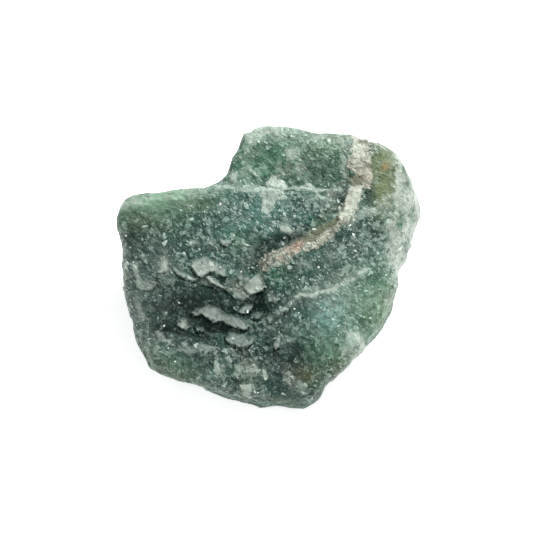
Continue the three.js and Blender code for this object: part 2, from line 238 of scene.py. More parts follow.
# %% Relief of the face
# x, y, half length, half width, turn, height
SWELLS = [
    (-9, -8.2, 10, 4.2, -3, -2.7),
    (-8.5, -9.9, 2.8, 1.2, -8, -0.8),
    (-1.8, -5.1, 1.8, 2.2, 0, -1.8),
    (14.3, -12.3, 2.2, 1.8, 0, 0.5),
    (-17, -3, 5, 3, 70, 0.5),
]
SEAM = [
    (-0.5, -11), (0.4, -7.5), (0.2, -4), (-1.4, -0.6), (0.3, 2.3), (4.8, 3.8), (7.7, 5.2),
    (11, 7.9), (13.8, 10.7), (15.4, 13.4), (16.8, 17),
]  # fmt: skip
SEAM_STEP, SEAM_GROOVE, SEAM_SOFTNESS, SEAM_FADE, GROOVE_WIDTH = 1.2, 0.6, 0.4, 8, 1.4
CREASE = [(-9.5, 13.9), (-7, 13.7), (-3.8, 13.1), (4.5, 13.4), (13, 13.1)]
CREASE_STEP, CREASE_SOFTNESS, CREASE_FADE = 1.1, 0.35, 9
CRACK = [(-19.5, -9.2), (-15, -10.6), (-11, -11.4), (-7.4, -11.6)]
CRACK_DEPTH, CRACK_WIDTH = 0.7, 0.6


def chain_distance(chain, x, y):
    """Distance to an open chain of points, its side (1 to the right) and the share of its run."""
    best = np.full(len(x), np.inf)
    side = np.ones(len(x))
    share = np.zeros(len(x))
    for i, ((ax, ay), (bx, by)) in enumerate(zip(chain, chain[1:])):
        dx, dy = bx - ax, by - ay
        t = np.clip(((x - ax) * dx + (y - ay) * dy) / (dx * dx + dy * dy), 0, 1)
        gap = np.hypot(x - ax - t * dx, y - ay - t * dy)
        nearer = gap < best
        best = np.where(nearer, gap, best)
        side = np.where(nearer, np.where((x - ax) * dy - (y - ay) * dx > 0, 1, -1), side)
        share = np.where(nearer, (i + t) / (len(chain) - 1), share)
    return best, side, share


def bell(x, y, cx, cy, length, width, turn=0.0):
    """1 at a place, falling like a bell over its half length and half width."""
    c, s = math.cos(math.radians(turn)), math.sin(math.radians(turn))
    u = ((x - cx) * c + (y - cy) * s) / length
    v = (-(x - cx) * s + (y - cy) * c) / width
    return np.exp(-u * u - v * v)


def along_run(share):
    """1 inside a chain's run, falling to 0 at its two ends."""
    return smooth(share, 0, 0.25) * (1 - smooth(share, 0.8, 1))


def face_relief(x, y):
    """Sum of the swells, the seam's step and groove, the crease's step and the crack."""
    height = np.zeros(len(x))
    for cx, cy, length, width, turn, rise in SWELLS:
        height += rise * bell(x, y, cx, cy, length, width, turn)
    gap, side, share = chain_distance(SEAM, x, y)
    step = 0.5 + 0.5 * np.tanh(gap * side / SEAM_SOFTNESS)
    height += SEAM_STEP * step * np.exp(-gap / SEAM_FADE) * along_run(share)
    height -= SEAM_GROOVE * np.exp(-(((gap * side + 1.1) / GROOVE_WIDTH) ** 2)) * along_run(share)
    gap, side, share = chain_distance(CREASE, x, y)
    step = 0.5 + 0.5 * np.tanh(-gap * side / CREASE_SOFTNESS)
    height -= CREASE_STEP * step * (1 - share) * np.exp(-gap / CREASE_FADE)
    gap, side, share = chain_distance(CRACK, x, y)
    height -= CRACK_DEPTH * np.exp(-((gap / CRACK_WIDTH) ** 2)) * along_run(share)
    return height


# %% [markdown]
# ## The stone's surface
# A ray from the centre meets the form, the lumps and chips push that point out or in, and on the
# face the relief is added to h. This is the solid's surface. The finer chips and grain, too small
# for the solid, come after it and fade nowhere: the whole stone is rough to the touch.

# %% Surface
LUMPS = [(11, 0.9), (5, 0.4)]
CHIPS = [(7, 1.3), (3.2, 0.45)]
FACE_CALM = 0.4
FINE_CHIPS = [(1.9, 0.12), (1.05, 0.08)]
FINE_LUMPS = [(2.6, 0.2), (0.62, 0.08)]


def facing(points):
    """1 on the broad face, 0 on the sides and the back."""
    return smooth(points[:, 2], 2, 7)


def off_rim(points):
    """1 on the face and low on the sides, 0 on the rim between, which is rubbed smoother."""
    return np.maximum(facing(points), smooth(-points[:, 2], 1, 6))


def solid_surface(directions):
    """The form's point in each direction, with the solid's lumps, chips and relief."""
    points = directions * form_radius(directions)[:, None]
    front = facing(points)
    rise = sum(height * lumps(points, size) for size, height in LUMPS)
    rise = rise + sum(0.5 * height * chips(points, size) for size, height in CHIPS)
    points = points + directions * (rise * (1 + (FACE_CALM - 1) * front))[:, None]
    points[:, 2] += front * face_relief(points[:, 0], points[:, 1])
    return points


def fine_surface(directions, points, calm):
    """Moves points along h on the face, and outwards elsewhere, by the fine chips and lumps."""
    front = facing(points)[:, None]
    way = directions * (1 - front) + np.array([0, 0, 1]) * front
    rise = sum(height * lumps(points, size) for size, height in FINE_LUMPS)
    rise = rise + sum(height * chips(points, size) for size, height in FINE_CHIPS)
    return points + way * (rise * (1 - 0.8 * calm) * (0.3 + 0.7 * off_rim(points)))[:, None]


def unit(vectors):
    """The same directions with length 1."""
    return vectors / np.linalg.norm(vectors, axis=1, keepdims=True)


# %% [markdown]
# ## Ledges
# Left of the middle, thin plates stand out of the face one above the other, each with a ragged lip
# and a dark gap under it. Each ledge is an outline on the face with a sloping top. Inside it the
# surface rises to that top, and just outside the lower side of it the surface drops away.

# %% Ledges
# height of the lip, slope up the face, slope across it, paleness, and outline points
LEDGES = [
    (10.0, 0.28, 0, 0.95, [
        (-12.8, 0.8), (-12.5, 1.6), (-11.7, 2.3), (-10.5, 2.6), (-9.5, 2.4), (-9, 1.9), (-8.6, 1.2),
        (-7.8, 0.8), (-6.9, 0.1), (-6.8, -0.8), (-7.3, -1), (-8.1, -0.7), (-8.8, -0.3), (-9.5, -0.4),
        (-10.4, -0.9), (-11.2, -0.9), (-12, -0.2)]),
    (9.64, 0.33, -0.23, 0.7, [
        (-15.8, 0.7), (-15.1, 0.9), (-14.2, 0.1), (-13.2, -0.3), (-12.2, -0.8), (-11.3, -1.3),
        (-11.7, -1.7), (-13, -1.5), (-14, -1.2), (-15, -0.6)]),
    (8.5, 0, -0.06, 0.55, [
        (-10.9, -2), (-10.5, -1.5), (-9.6, -1), (-8.3, -1.3), (-7.3, -1.9), (-6.5, -1.8),
        (-5.8, -1.2), (-5, -1.1), (-4, -1.5), (-3, -0.9), (-1.9, -0.4), (-1.3, -0.3), (-0.9, -1.1),
        (-0.5, -2), (-0.5, -2.8), (-1, -3.3), (-1.9, -3.7), (-2.8, -4), (-3.3, -4.5), (-4, -5),
        (-4.7, -4.9), (-5.5, -4.4), (-6.2, -3.7), (-6.9, -3.4), (-8.1, -3.3), (-9.1, -2.7),
        (-10, -2.5), (-10.8, -2.4)]),
    (9.5, 0.15, -0.24, 0.85, [
        (-10, -1), (-9.2, -0.9), (-8.3, -1.4), (-7.4, -2.1), (-6.8, -2.8), (-6.9, -3.3),
        (-7.8, -2.8), (-8.8, -2.4), (-9.5, -1.9)]),
    (8.8, 0, 0.2, 1.0, [
        (-4.2, -2.5), (-4, -1.9), (-3, -1.1), (-1.9, -0.5), (-1.3, -0.3), (-0.9, -1.1), (-0.5, -2),
        (-0.5, -2.8), (-1, -3.3), (-1.9, -3.7), (-2.8, -4), (-3.5, -3.7), (-4, -3.1)]),
    (7.8, 0.4, 0.15, 0.6, [
        (-4.9, -6.7), (-4.6, -6.1), (-4, -5.3), (-3.1, -5.1), (-2.4, -5.5), (-2.4, -6.1),
        (-2.9, -6.6), (-3.6, -7.1), (-4.4, -7.1)]),
    (7.45, 0.12, 0.03, 0.65, [
        (-12.6, -6.6), (-12, -6.1), (-11.1, -6), (-10.4, -5.3), (-9.8, -5), (-8.9, -5.4),
        (-8.1, -5.8), (-7.3, -6.6), (-6.6, -7.1), (-5.7, -7.2), (-4.9, -7.2), (-4, -7.6), (-3.5, -8.5),
        (-3.1, -9.2), (-3.5, -9.7), (-4.2, -9.8), (-5.3, -9.5), (-6, -9.2), (-6.9, -8.9),
        (-7.4, -8.4), (-8.3, -8.5), (-9, -8.7), (-9.6, -8.1), (-10.3, -7.6), (-10.9, -7.2),
        (-11.4, -7.5), (-12, -7.5), (-12.6, -7.1)]),
    (8.5, 0.72, 0.12, 0.45, [
        (-7.3, -11), (-6.5, -10.2), (-5.5, -10), (-4.2, -10.2), (-3.2, -10.7), (-2.4, -11.4),
        (-2.6, -12.1), (-3.5, -12.5), (-4.7, -12.6), (-5.8, -12.2), (-6.8, -11.7)]),
    (8.75, 0.3, 0.12, 0.7, [
        (0.8, -11.9), (1.1, -11), (1.8, -10.2), (2, -11), (2, -12.2), (1.5, -12.9), (1, -12.8)]),
    (9.3, 0, 0.8, 0.6, [
        (-0.3, -4), (0.5, -3.7), (1.4, -4.2), (1.8, -4.7), (1.2, -5.3), (0.3, -4.9)]),
    (9.6, 0.2, 0, 0.85, [(-8, 5.5), (-6.2, 5.5), (-5.8, 4.7), (-6.7, 3.7), (-7.8, 4.3)]),
    (8.05, 0.2, 0.7, 0.65, [(-0.3, -7.7), (0.4, -7.3), (1.1, -7.7), (0.8, -8.3), (0.3, -8.7)]),
    (7.05, 0.45, 0.15, 0.3, [
        (-2.9, -7.5), (-2.5, -6.9), (-1.5, -6.8), (-0.9, -7.2), (-1.5, -8), (-2.5, -8)]),
    (9.3, 0, 0.25, 0.6, [(1.8, -6.3), (2.8, -5.9), (3.5, -6.3), (3.1, -6.8), (2.1, -6.9)]),
    (9.7, 0.17, 0, 0.4, [
        (-17.9, 1.4), (-16.9, 1.7), (-16.2, 1.2), (-16.6, -0.3), (-17.5, -0.5), (-17.8, 0.5)]),
    (7.3, 0.5, -0.5, 0.5, [
        (-14.8, -8.1), (-13.6, -8.4), (-12.8, -9.4), (-13.3, -10.1), (-14.3, -9.5), (-15, -8.9)]),
    (6.7, 0.85, -0.35, 0.35, [
        (-12.2, -9.5), (-11.1, -8.9), (-10.3, -9.3), (-10.6, -10.2), (-11.6, -10.2)]),
    (8.3, 0.21, 0, 0, [
        (12.9, 21), (14.4, 21.3), (15.9, 21.4), (17, 20.9), (16.9, 19.6), (17.1, 18.4), (16.8, 17.4),
        (17, 16.4), (16.8, 15), (16.6, 13.4), (14.8, 13.2), (12.9, 13.3), (12.7, 16), (12.9, 18.4)]),
    (10.2, 0.33, 0, 0, [
        (13.3, 13.6), (15.2, 13.6), (15.4, 12.6), (14.9, 11.5), (14.6, 10.5), (14.8, 9.5),
        (13.9, 9), (13, 7.9), (11.5, 7.5), (11.3, 8.4), (12.1, 9.5), (12.3, 11), (12.6, 12.3)]),
]  # fmt: skip
LIP_ROUNDING = 0.08
# how far up from its lip a plate stays paler
LIP_PALE_REACH = 0.5
GAP_REACH = 0.6
GAP_DEPTH = 0.7


def inside_distance(x, y, outline):
    """Distance to the nearest side of a closed outline: positive inside it, negative outside."""
    best = np.full(len(x), np.inf)
    nearest_y = np.zeros(len(x))
    inside = np.zeros(len(x), bool)
    for (ax, ay), (bx, by) in zip(outline, outline[1:] + outline[:1]):
        dx, dy = bx - ax, by - ay
        t = np.clip(((x - ax) * dx + (y - ay) * dy) / (dx * dx + dy * dy), 0, 1)
        gap = np.hypot(x - ax - t * dx, y - ay - t * dy)
        nearest_y = np.where(gap < best, ay + t * dy, nearest_y)
        best = np.minimum(best, gap)
        if ay != by:
            crossing = ax + (y - ay) * dx / dy
            inside ^= ((ay > y) != (by > y)) & (x < crossing)
    return np.where(inside, best, -best), nearest_y


def add_ledges(points):
    """Raises h to each ledge's sloping top inside its outline, and lowers it under its lip."""
    front = facing(points) > 0.5
    base = points[front].copy()
    x = base[:, 0] + 0.1 * lumps(base, 0.8) + 0.07 * lumps(base, 0.3)
    y = base[:, 1] + 0.1 * lumps(base[:, [1, 2, 0]], 0.8) + 0.07 * lumps(base[:, [1, 2, 0]], 0.3)
    worn = 0.13 * chips(base, 1.7) + 0.07 * chips(base, 0.8) + 0.05 * lumps(base, 0.4)
    h = base[:, 2].copy()
    on_ledge, at_lip, covered = np.zeros((3, len(base)))
    for height, slope, cross_slope, paleness, outline in LEDGES:
        depth, nearest_y = inside_distance(x, y, outline)
        middle = np.mean(outline, axis=0)[0]
        lip = min(py for _, py in outline)
        top = height - slope * (y - lip) + cross_slope * (x - middle) + worn
        top = top - 0.1 * np.exp(-np.maximum(depth, 0) / LIP_ROUNDING)
        downward = smooth((nearest_y - y) / np.maximum(np.abs(depth), 0.01), 0.2, 0.8)
        gap = np.clip(1 + depth / GAP_REACH, 0, 1) ** 2 * downward * (depth < 0)
        h = h - GAP_DEPTH * gap * (paleness > 0)
        higher = (depth > 0) & (top > h)
        upward = smooth((nearest_y - y) / np.maximum(np.abs(depth), 0.01), -0.2, 0.6)
        shown = paleness * smooth(depth, 0, 0.15 + 0.7 * upward) * smooth(top - h, -0.2, 0.35)
        on_ledge = np.where(higher, np.maximum(shown, 0.3 * on_ledge), on_ledge)
        # The lip mask: each plate is paler at its lip, fading over a set distance up the plate.
        edge = shown * np.exp(-depth / LIP_PALE_REACH) * smooth(y - nearest_y, -0.1, 0.3)
        edge = edge * (0.75 + 0.4 * lumps(base, 0.45))
        at_lip = np.where(higher, edge, at_lip)
        covered = np.where(higher, (paleness > 0) * smooth(depth, 0, 0.2), covered)
        h = np.where(higher, top, h)
    raised = points.copy()
    raised[front, 2] = h
    plates = np.zeros((3, len(points)))
    plates[:, front] = on_ledge, at_lip, covered
    return raised, plates


# %% [markdown]
# ## The mesh
# The face is a square grid bent to a disc and stretched to the outline, and its cells are drawn
# together around the ledges, where the shape is finest. From its rim a skirt of rows runs down the
# sides to the table, and one flat cap closes the base. A sphere of even cells would spend as many
# on the base.

# %% Mesh of the stone
FACE_CELLS = 236
SIDE_ROWS = 40
RIM_HEIGHT = 8.0
FINE_CENTRE = np.array([-6.4, -4.4])  # the middle of the ledges
FINE_REACH = 8.0
FINE_PULL = 0.42  # how much smaller the cells are there


def disc_grid(cells):
    """Square to disc, ring by ring: the larger of the two parameters is the radius."""
    u, v = np.meshgrid(*[np.linspace(-1, 1, cells + 1)] * 2, indexing="ij")
    wide = np.abs(u) > np.abs(v)
    radius = np.where(wide, u, v)
    with np.errstate(divide="ignore", invalid="ignore"):
        turn = np.where(wide, math.pi / 4 * v / u, math.pi / 2 - math.pi / 4 * u / v)
    turn = np.where(radius == 0, 0, turn)
    return radius * np.cos(turn), radius * np.sin(turn)


def face_directions():
    """Rays through a disc stretched to the outline, with points pulled in around FINE_CENTRE."""
    a, b = disc_grid(FACE_CELLS)
    reach = outline_radius(np.arctan2(b, a).ravel())
    flat = np.stack([a.ravel(), b.ravel()], axis=1) * reach[:, None]
    apart = flat - FINE_CENTRE
    nearness = np.exp(-(apart**2).sum(axis=1) / FINE_REACH**2)
    flat = flat - apart * (FINE_PULL * nearness)[:, None]
    return unit(np.column_stack([flat, np.full(len(flat), RIM_HEIGHT)]))


def rim_numbers(cells):
    """Numbers of the grid's rim points, once around."""
    number = np.arange((cells + 1) ** 2).reshape(cells + 1, cells + 1)
    return np.concatenate(
        [number[:-1, 0], number[-1, :-1], number[:0:-1, -1], number[0, :0:-1]]
    )


def skirt_directions(rim_rays):
    """Rows of rays from the rim down to where the surface meets the table, found by halving."""
    down = np.tile(unit(np.array([[0, -math.sin(FACE_LEAN), -math.cos(FACE_LEAN)]])), (len(rim_rays), 1))
    low, high = np.zeros(len(rim_rays)), np.ones(len(rim_rays))

    def ray(share):
        """The ray at a share of the way round from the rim's ray to straight down."""
        angle = np.arccos((rim_rays * down).sum(axis=1))
        a = np.sin((1 - share) * angle)[:, None]
        b = np.sin(share * angle)[:, None]
        return unit(a * rim_rays + b * down)

    for _ in range(24):
        middle = (low + high) / 2
        above = table_height(solid_surface(ray(middle))) > 0
        low, high = np.where(above, middle, low), np.where(above, high, middle)
    steps = np.linspace(0, 1, SIDE_ROWS + 1)[1:]
    return [ray(low * step) for step in steps]


face_rays = face_directions()
rim = rim_numbers(FACE_CELLS)
skirt_rays = skirt_directions(face_rays[rim])
rays = np.concatenate([face_rays, *skirt_rays])
surface, plates = add_ledges(solid_surface(rays))
surface = fine_surface(rays, surface, 0.65 * smooth(plates[0], 0, 0.4))
stone_points = lay_down(surface)
stone_points[:, 2] = np.maximum(stone_points[:, 2], 0)
stone_points[-len(rim):, 2] = 0

number = np.arange(len(face_rays)).reshape(FACE_CELLS + 1, FACE_CELLS + 1)
quads = [np.stack([number[:-1, :-1], number[1:, :-1], number[1:, 1:], number[:-1, 1:]], axis=-1).reshape(-1, 4)]
upper = rim
for row in range(SIDE_ROWS):
    lower = len(face_rays) + row * len(rim) + np.arange(len(rim))
    quads.append(np.stack([upper, lower, np.roll(lower, -1), np.roll(upper, -1)], axis=1))
    upper = lower
quads = np.concatenate(quads)
cap = upper[::-1]
print("stone points:", len(stone_points), "quads:", len(quads))


def quad_mesh(name, points, quads, extra_faces=()):
    """A mesh object from a point array and an array of four-sided faces."""
    mesh = bpy.data.meshes.new(name)
    mesh.from_pydata(points.tolist(), [], quads.tolist() + [list(face) for face in extra_faces])
    mesh.validate()
    piece = bpy.data.objects.new(name, mesh)
    bpy.context.scene.collection.objects.link(piece)
    return piece


stone = quad_mesh("rough_stone_surface", stone_points, quads, [cap])
stone.data.polygons.foreach_set("use_smooth", np.ones(len(stone.data.polygons), bool))

# %% [markdown]
# ## Where the colours lie
# The stone is green, but not evenly: mint along the left shoulder, teal in the middle, grey on the
# left, olive and rust beside the seam. The seam is cream at the rim and tan towards the middle. Each
# of these is a mask on the surface, a function of the place on the face, that the material later
# breaks up with noise. One more mask holds painted shade: near black in the hollow, the crevices and
# under the ledges and the seam, and a darker green in a few patches.

# %% Masks
# outlines on the face, with how pale each patch is
PALE_SHAPES = [
    (0.7, [(-4.1, 21.8), (-2.6, 22.9), (-0.2, 22.9), (0.8, 21.5), (-0.8, 21.8), (-1.8, 21.6), (-3, 20.6)]),
    (0.5, [(2.5, 19.7), (4.6, 20), (5.4, 18.8), (3.9, 18), (3.1, 18)]),
    (0.75, [(-3.5, 16.5), (-2.8, 16.8), (-2, 16.1), (-1.3, 14.9), (-1.1, 14.3), (-1.6, 15.1), (-2.6, 15.9)]),
    (0.9, [(-0.5, 13.9), (-0.3, 14.5), (0.9, 15.8), (1.6, 15.4), (2.8, 14.3), (3.5, 13.7), (2.5, 13.4)]),
    (0.74, [
        (-0.9, 13.5), (2.5, 13.5), (2.8, 12.3), (2.6, 11.7), (1.6, 11.3), (0.9, 10.4), (0.4, 9.2),
        (-0.1, 8.9), (-0.9, 9.7), (-0.8, 10.9), (-1.1, 11.9)]),
    (0.8, [(5.8, 13.8), (6.5, 14.2), (7.2, 14.2), (7.6, 13.7), (8.4, 13.1), (8.2, 12.2), (7.8, 12.8)]),
    (0.6, [(-6.2, 15.9), (-5.1, 16.1), (-5, 15.1), (-5.1, 14.4), (-4.4, 13.8), (-6.2, 14.2)]),
    (0.8, [(1.8, 7.1), (2.5, 7.3), (3.6, 7.1), (4.1, 6.4), (3.4, 5.6), (2.3, 6)]),
    (0.8, [
        (12.8, -9.8), (14.5, -10.1), (15.7, -11.4), (16, -12.8), (15, -13.9), (13.6, -15), (13.9, -14.2),
        (14.9, -13.2), (14.9, -12.2), (14.1, -11.3), (12.9, -10.8)]),
    (0.8, [(-4.3, -18.9), (-3.4, -18.6), (-2.8, -19.8), (-3.4, -20.9), (-4.2, -20.2)]),
    (0.32, [(4.7, -18), (6.4, -18.6), (6.6, -20), (5.4, -20.5), (4.8, -19.4)]),
    (0.5, [
        (-22.2, 1.2), (-21.4, 1), (-20.9, -1.2), (-20.2, -1.9), (-19, -1.9), (-18.6, -2.9),
        (-20.2, -3), (-21.3, -2.4), (-21.9, -0.4)]),
    (0.4, [(-8.9, -12.6), (-8.4, -12.8), (-8, -15.6), (-8.4, -16.2), (-8.7, -14.4)]),
    (0.75, [(-8.6, -14.9), (-8.2, -14.9), (-7.5, -16.6), (-8.1, -17), (-9, -16.5)]),
    (0.42, [(-5.9, -16.9), (-5.3, -15.4), (-4.4, -15), (-3.9, -15.8), (-4.3, -16.9), (-5.2, -17.4)]),
    (0.42, [(-3.5, -16.6), (-3.2, -15.6), (-2, -15.2), (-1.4, -16.2), (-2, -17.2), (-2.9, -17.4)]),
    (0.6, [(-1, -16), (-0.3, -16.4), (0, -17.6), (-0.6, -18)]),
    (0.5, [(-7, -14.4), (-6.2, -13.9), (-5.6, -14.6), (-6.3, -15.2)]),
    (0.45, [(-18.8, -12.4), (-18, -12.3), (-17.8, -13.1), (-18.6, -13.3)]),
    (0.45, [(-16.8, -11.4), (-16, -11.2), (-15.8, -12), (-16.6, -12.2)]),
    (0.5, [(-13.9, -11.7), (-13, -11.6), (-12.9, -12.3), (-13.7, -12.4)]),
    (0.45, [(13.9, 9.7), (17.4, 10.2), (18.4, 9.4), (17, 8.7), (15.4, 8.6), (14.4, 7.8), (13.6, 8.6)]),
    (0.45, [(-21.6, -5.3), (-20.8, -5.2), (-20, -8.2), (-20.6, -8.8)]),
    (0.5, [(-17.9, 1.5), (-16.4, 1.4), (-16.3, -0.6), (-17.5, -0.2)]),
    (0.3, [(-14.8, -12), (-12.2, -12.4), (-9, -12.3), (-9, -13.2), (-12.6, -13.4), (-14.9, -13)]),
    (0.36, [(-18.2, -10.2), (-17, -10.4), (-16.6, -11.6), (-17.8, -11.8)]),
    (0.5, [(-14.6, -7.9), (-13.2, -8), (-13.1, -9.3), (-14.3, -9.5)]),
    (0.4, [
        (-3.6, -2.2), (-2.6, -1.1), (-1.4, -0.5), (-0.8, -1.4), (-0.7, -2.7), (-1.6, -3.3), (-2.8, -3.6)]),
    (0.2, [(-11.6, 0.4), (-11, 1.2), (-10, 1.2), (-9.6, 0.3), (-10.4, -0.4), (-11.3, -0.5)]),
    (0.4, [(-0.3, -4), (0.5, -3.7), (1.4, -4.2), (1.8, -4.7), (1.2, -5.3), (0.3, -4.9)]),
    (0.55, [(1.8, -6.2), (2.8, -5.8), (3.5, -6.3), (3.1, -6.8), (2.1, -6.9)]),
    (0.5, [(-0.3, -7.7), (0.4, -7.3), (1.1, -7.7), (0.8, -8.3), (0.3, -8.7)]),
    (0.3, [(-2.6, -7.3), (-1.5, -6.8), (-0.9, -7.2), (-1.5, -8)]),
]  # fmt: skip
SEAM_SHAPE = [
    (13.7, 23), (17.2, 22), (17.1, 18), (17, 13.3), (15.6, 13.2), (15.3, 11.5), (14.8, 10.8),
    (14.8, 9.9), (14, 9.1), (13.5, 7.5), (12.5, 7.3), (11.3, 6.6), (10.8, 5.6), (9.7, 5), (8.7, 4.1),
    (7.1, 3.2), (5.6, 2.7), (4.3, 2.4), (3.6, 1.2), (2.8, 0.7), (1.8, 0.8), (0.5, 0.1), (-0.6, -0.5),
    (-1.6, 0.2), (-1.2, 2.2), (0, 2.8), (1.5, 3.2), (2.5, 3.7), (3.7, 4.1), (4.5, 5), (5.6, 5.7),
    (7, 6.6), (8.4, 7.4), (10.2, 8.4), (11.4, 9.1), (12, 10.3), (12.4, 11.7),
    (13.1, 13.6), (13.3, 16.3), (12.7, 17.4), (13.1, 18.7),
]  # fmt: skip
THIN_VEIN = [
    (1.8, -6.9), (3.6, -5.4), (5.1, -4), (7.7, -3.8), (9.6, -3.2), (11.2, -2.9), (12.6, -1.8),
    (13.8, -1.2), (14.9, -0.4), (15.7, 0.1),
]  # fmt: skip
SHOULDER = [(-24, 10.6), (-16, 11.9), (-7, 13.4)]


def sum_of_bells(x, y, places):
    """Bells added together, each with its own amount last."""
    return sum(amount * bell(x, y, *place) for *place, amount in places)


def colour_masks(points, plates):
    """Named masks from 0 to 1 over the surface: patches, bells and bands on the face."""
    x = points[:, 0] + 0.25 * lumps(points, 1.5) + 0.2 * lumps(points, 0.5)
    y = points[:, 1] + 0.25 * lumps(points[:, [2, 0, 1]], 1.5) + 0.2 * lumps(points[:, [1, 2, 0]], 0.5)
    front = smooth(points[:, 2] + 3.5 * lumps(points, 6) + 1.2 * lumps(points, 2.3), -8, 3)

    pale = np.zeros(len(points))
    for paleness, outline in PALE_SHAPES:
        depth, _ = inside_distance(x, y, outline)
        pale = np.maximum(pale, paleness * smooth(depth, -0.12, 0.12))
    gap, _, share = chain_distance(THIN_VEIN, x, y)
    width = 0.34 + 0.24 * lumps(points, 0.6)
    whole = smooth(lumps(points, 0.9) + 0.9 * (share - 0.4), -0.5, 0.0)
    pale = np.maximum(pale, np.exp(-((gap / width) ** 2)) * whole + 0.2 * np.exp(-((gap / 1.1) ** 2)))
    gap, _, share = chain_distance(CREASE, x, y)
    pale = np.maximum(pale, (0.75 + 0.2 * smooth(share, 0.3, 0.45)) * np.exp(-((gap / 0.2) ** 2)))
    high = smooth(points[:, 2] + 1.5 * lumps(points, 2.3), -1, 4)
    top_rim = (smooth(y, 20.2, 23) * 0.5 * smooth(-x, -8, 0) + smooth(y, 21.6, 23.4) * 0.36) * high
    pale = np.maximum(pale, top_rim) * front

    edge = 20.4 - 1.6 * bell(x, y, 20, 5, 9, 5) + 0.6 * lumps(points, 1.7)
    patchy = 0.95 + 0.25 * lumps(points, 2.1)
    wash = smooth(x - edge, 0, 0.9) * smooth(y, -4, 1) * patchy
    wash = wash - sum_of_bells(x, y, [
        (21.6, 7.8, 0.9, 1.5, 0, 0.9), (23.8, 9, 0.7, 1.3, 0, 0.9), (22.6, 4.2, 1.2, 1.6, 0, 0.7),
        (22.8, 15.4, 1.6, 2.2, 0, 0.65),
    ])  # fmt: skip
    wash = np.maximum(wash, sum_of_bells(x, y, [
        (20.8, 4, 0.8, 5, 0, 0.9), (21.2, -6, 1, 5, 0, 0.5), (-22.4, 11.2, 2.6, 1.1, 8, 0.62),
        (-13, 12.6, 7, 0.6, 8, 0.35), (9.4, -8, 2.6, 1.9, -20, 0.45), (16.2, 9.4, 1.8, 0.7, 0, 0.3),
        (19.2, 10.3, 1, 1.8, 0, 0.5), (19.4, 1.5, 0.8, 1.8, 0, 0.6), (19.4, -4.4, 1.2, 1.4, 0, 0.3), (10, 2.4, 2, 1.2, 35, 0.15),
        (-12, -16.4, 2.6, 1, -15, 0.08), (2.8, -9.8, 1.6, 1.4, 0, 0.2), (6, 1.2, 1.8, 1, 20, 0.25), (-3.8, 3.2, 1.4, 1.8, 0, 0.28), 
        (-3.4, -19.8, 1.1, 1.5, 0, 0.45), (-4, 13.4, 4, 1.1, 0, 0.16), (-8.4, 0.6, 2.4, 1, 0, 0.2),
        (21.6, 16.6, 1, 2.6, 25, 0.4), (18.6, 20.4, 2.2, 0.8, -25, 0.45), (2.8, 16.2, 1.5, 1.2, 0, 0.35),
        (-3.8, 16, 1.2, 1.2, 0, 0.35), (2.8, 7.4, 1.6, 1.2, 0, 0.3), (-19.8, -12, 1.4, 2.6, 25, 0.25),
        (-2.6, -16.3, 2, 1.5, -15, 0.38), (-9, -19.2, 5, 0.8, -12, 0.28), (-17, -16.4, 2.5, 1.2, -30, 0.15), (11, -17.6, 3.4, 0.8, 45, 0.3),
        (14.4, -12.6, 2.4, 1.6, 40, 0.1), (-4, -19.4, 1, 1, 0, 0.3),
        (-20.6, -7, 1, 2.4, 15, 0.3), (-17, -7.4, 1.2, 1.4, 0, 0.1), (-17, 0.6, 1.4, 2, 0, 0.4), (3.6, -17.6, 0.8, 2.3, 20, 0.4),
        (13.4, -12.8, 1.2, 1.9, -20, 0.55), (12.6, -4.4, 3, 2, 0, 0.36), (11, -10.8, 2.4, 1.6, 0, 0.2), (9.3, -1.4, 2, 1.4, 0, 0.2), (8, 21.4, 6.5, 0.9, -6, 0.2),
        (12.6, 16.8, 0.7, 1.5, 0, 0.55), (12.4, 19.8, 0.9, 1.6, 0, 0.3), (10.4, 11.8, 2.2, 2.6, 0, 0.4), (9.5, 21.9, 3.4, 0.8, -8, 0.35), (-3.2, 19.4, 2.4, 1.5, 40, 0.25),
        (3.4, 17.6, 2.6, 1.6, 0, 0.08), (1, 12, 2.6, 2.4, 0, 0.2), (-23.6, -2, 0.9, 8, 0, 0.33), (14.3, -11.3, 1.7, 1.3, -30, 0.4), (-3.8, -1.4, 1.6, 0.8, -20, 0.35),
        (-10.3, -1.4, 1.4, 0.8, 0, 0.35), (-8.8, 4.6, 1.8, 1.2, 0, 0.2), (-7.4, -16.2, 0.8, 1.8, 0, 0.35), (6, 16.6, 1.8, 2, 0, 0.25),
    ]))  # fmt: skip

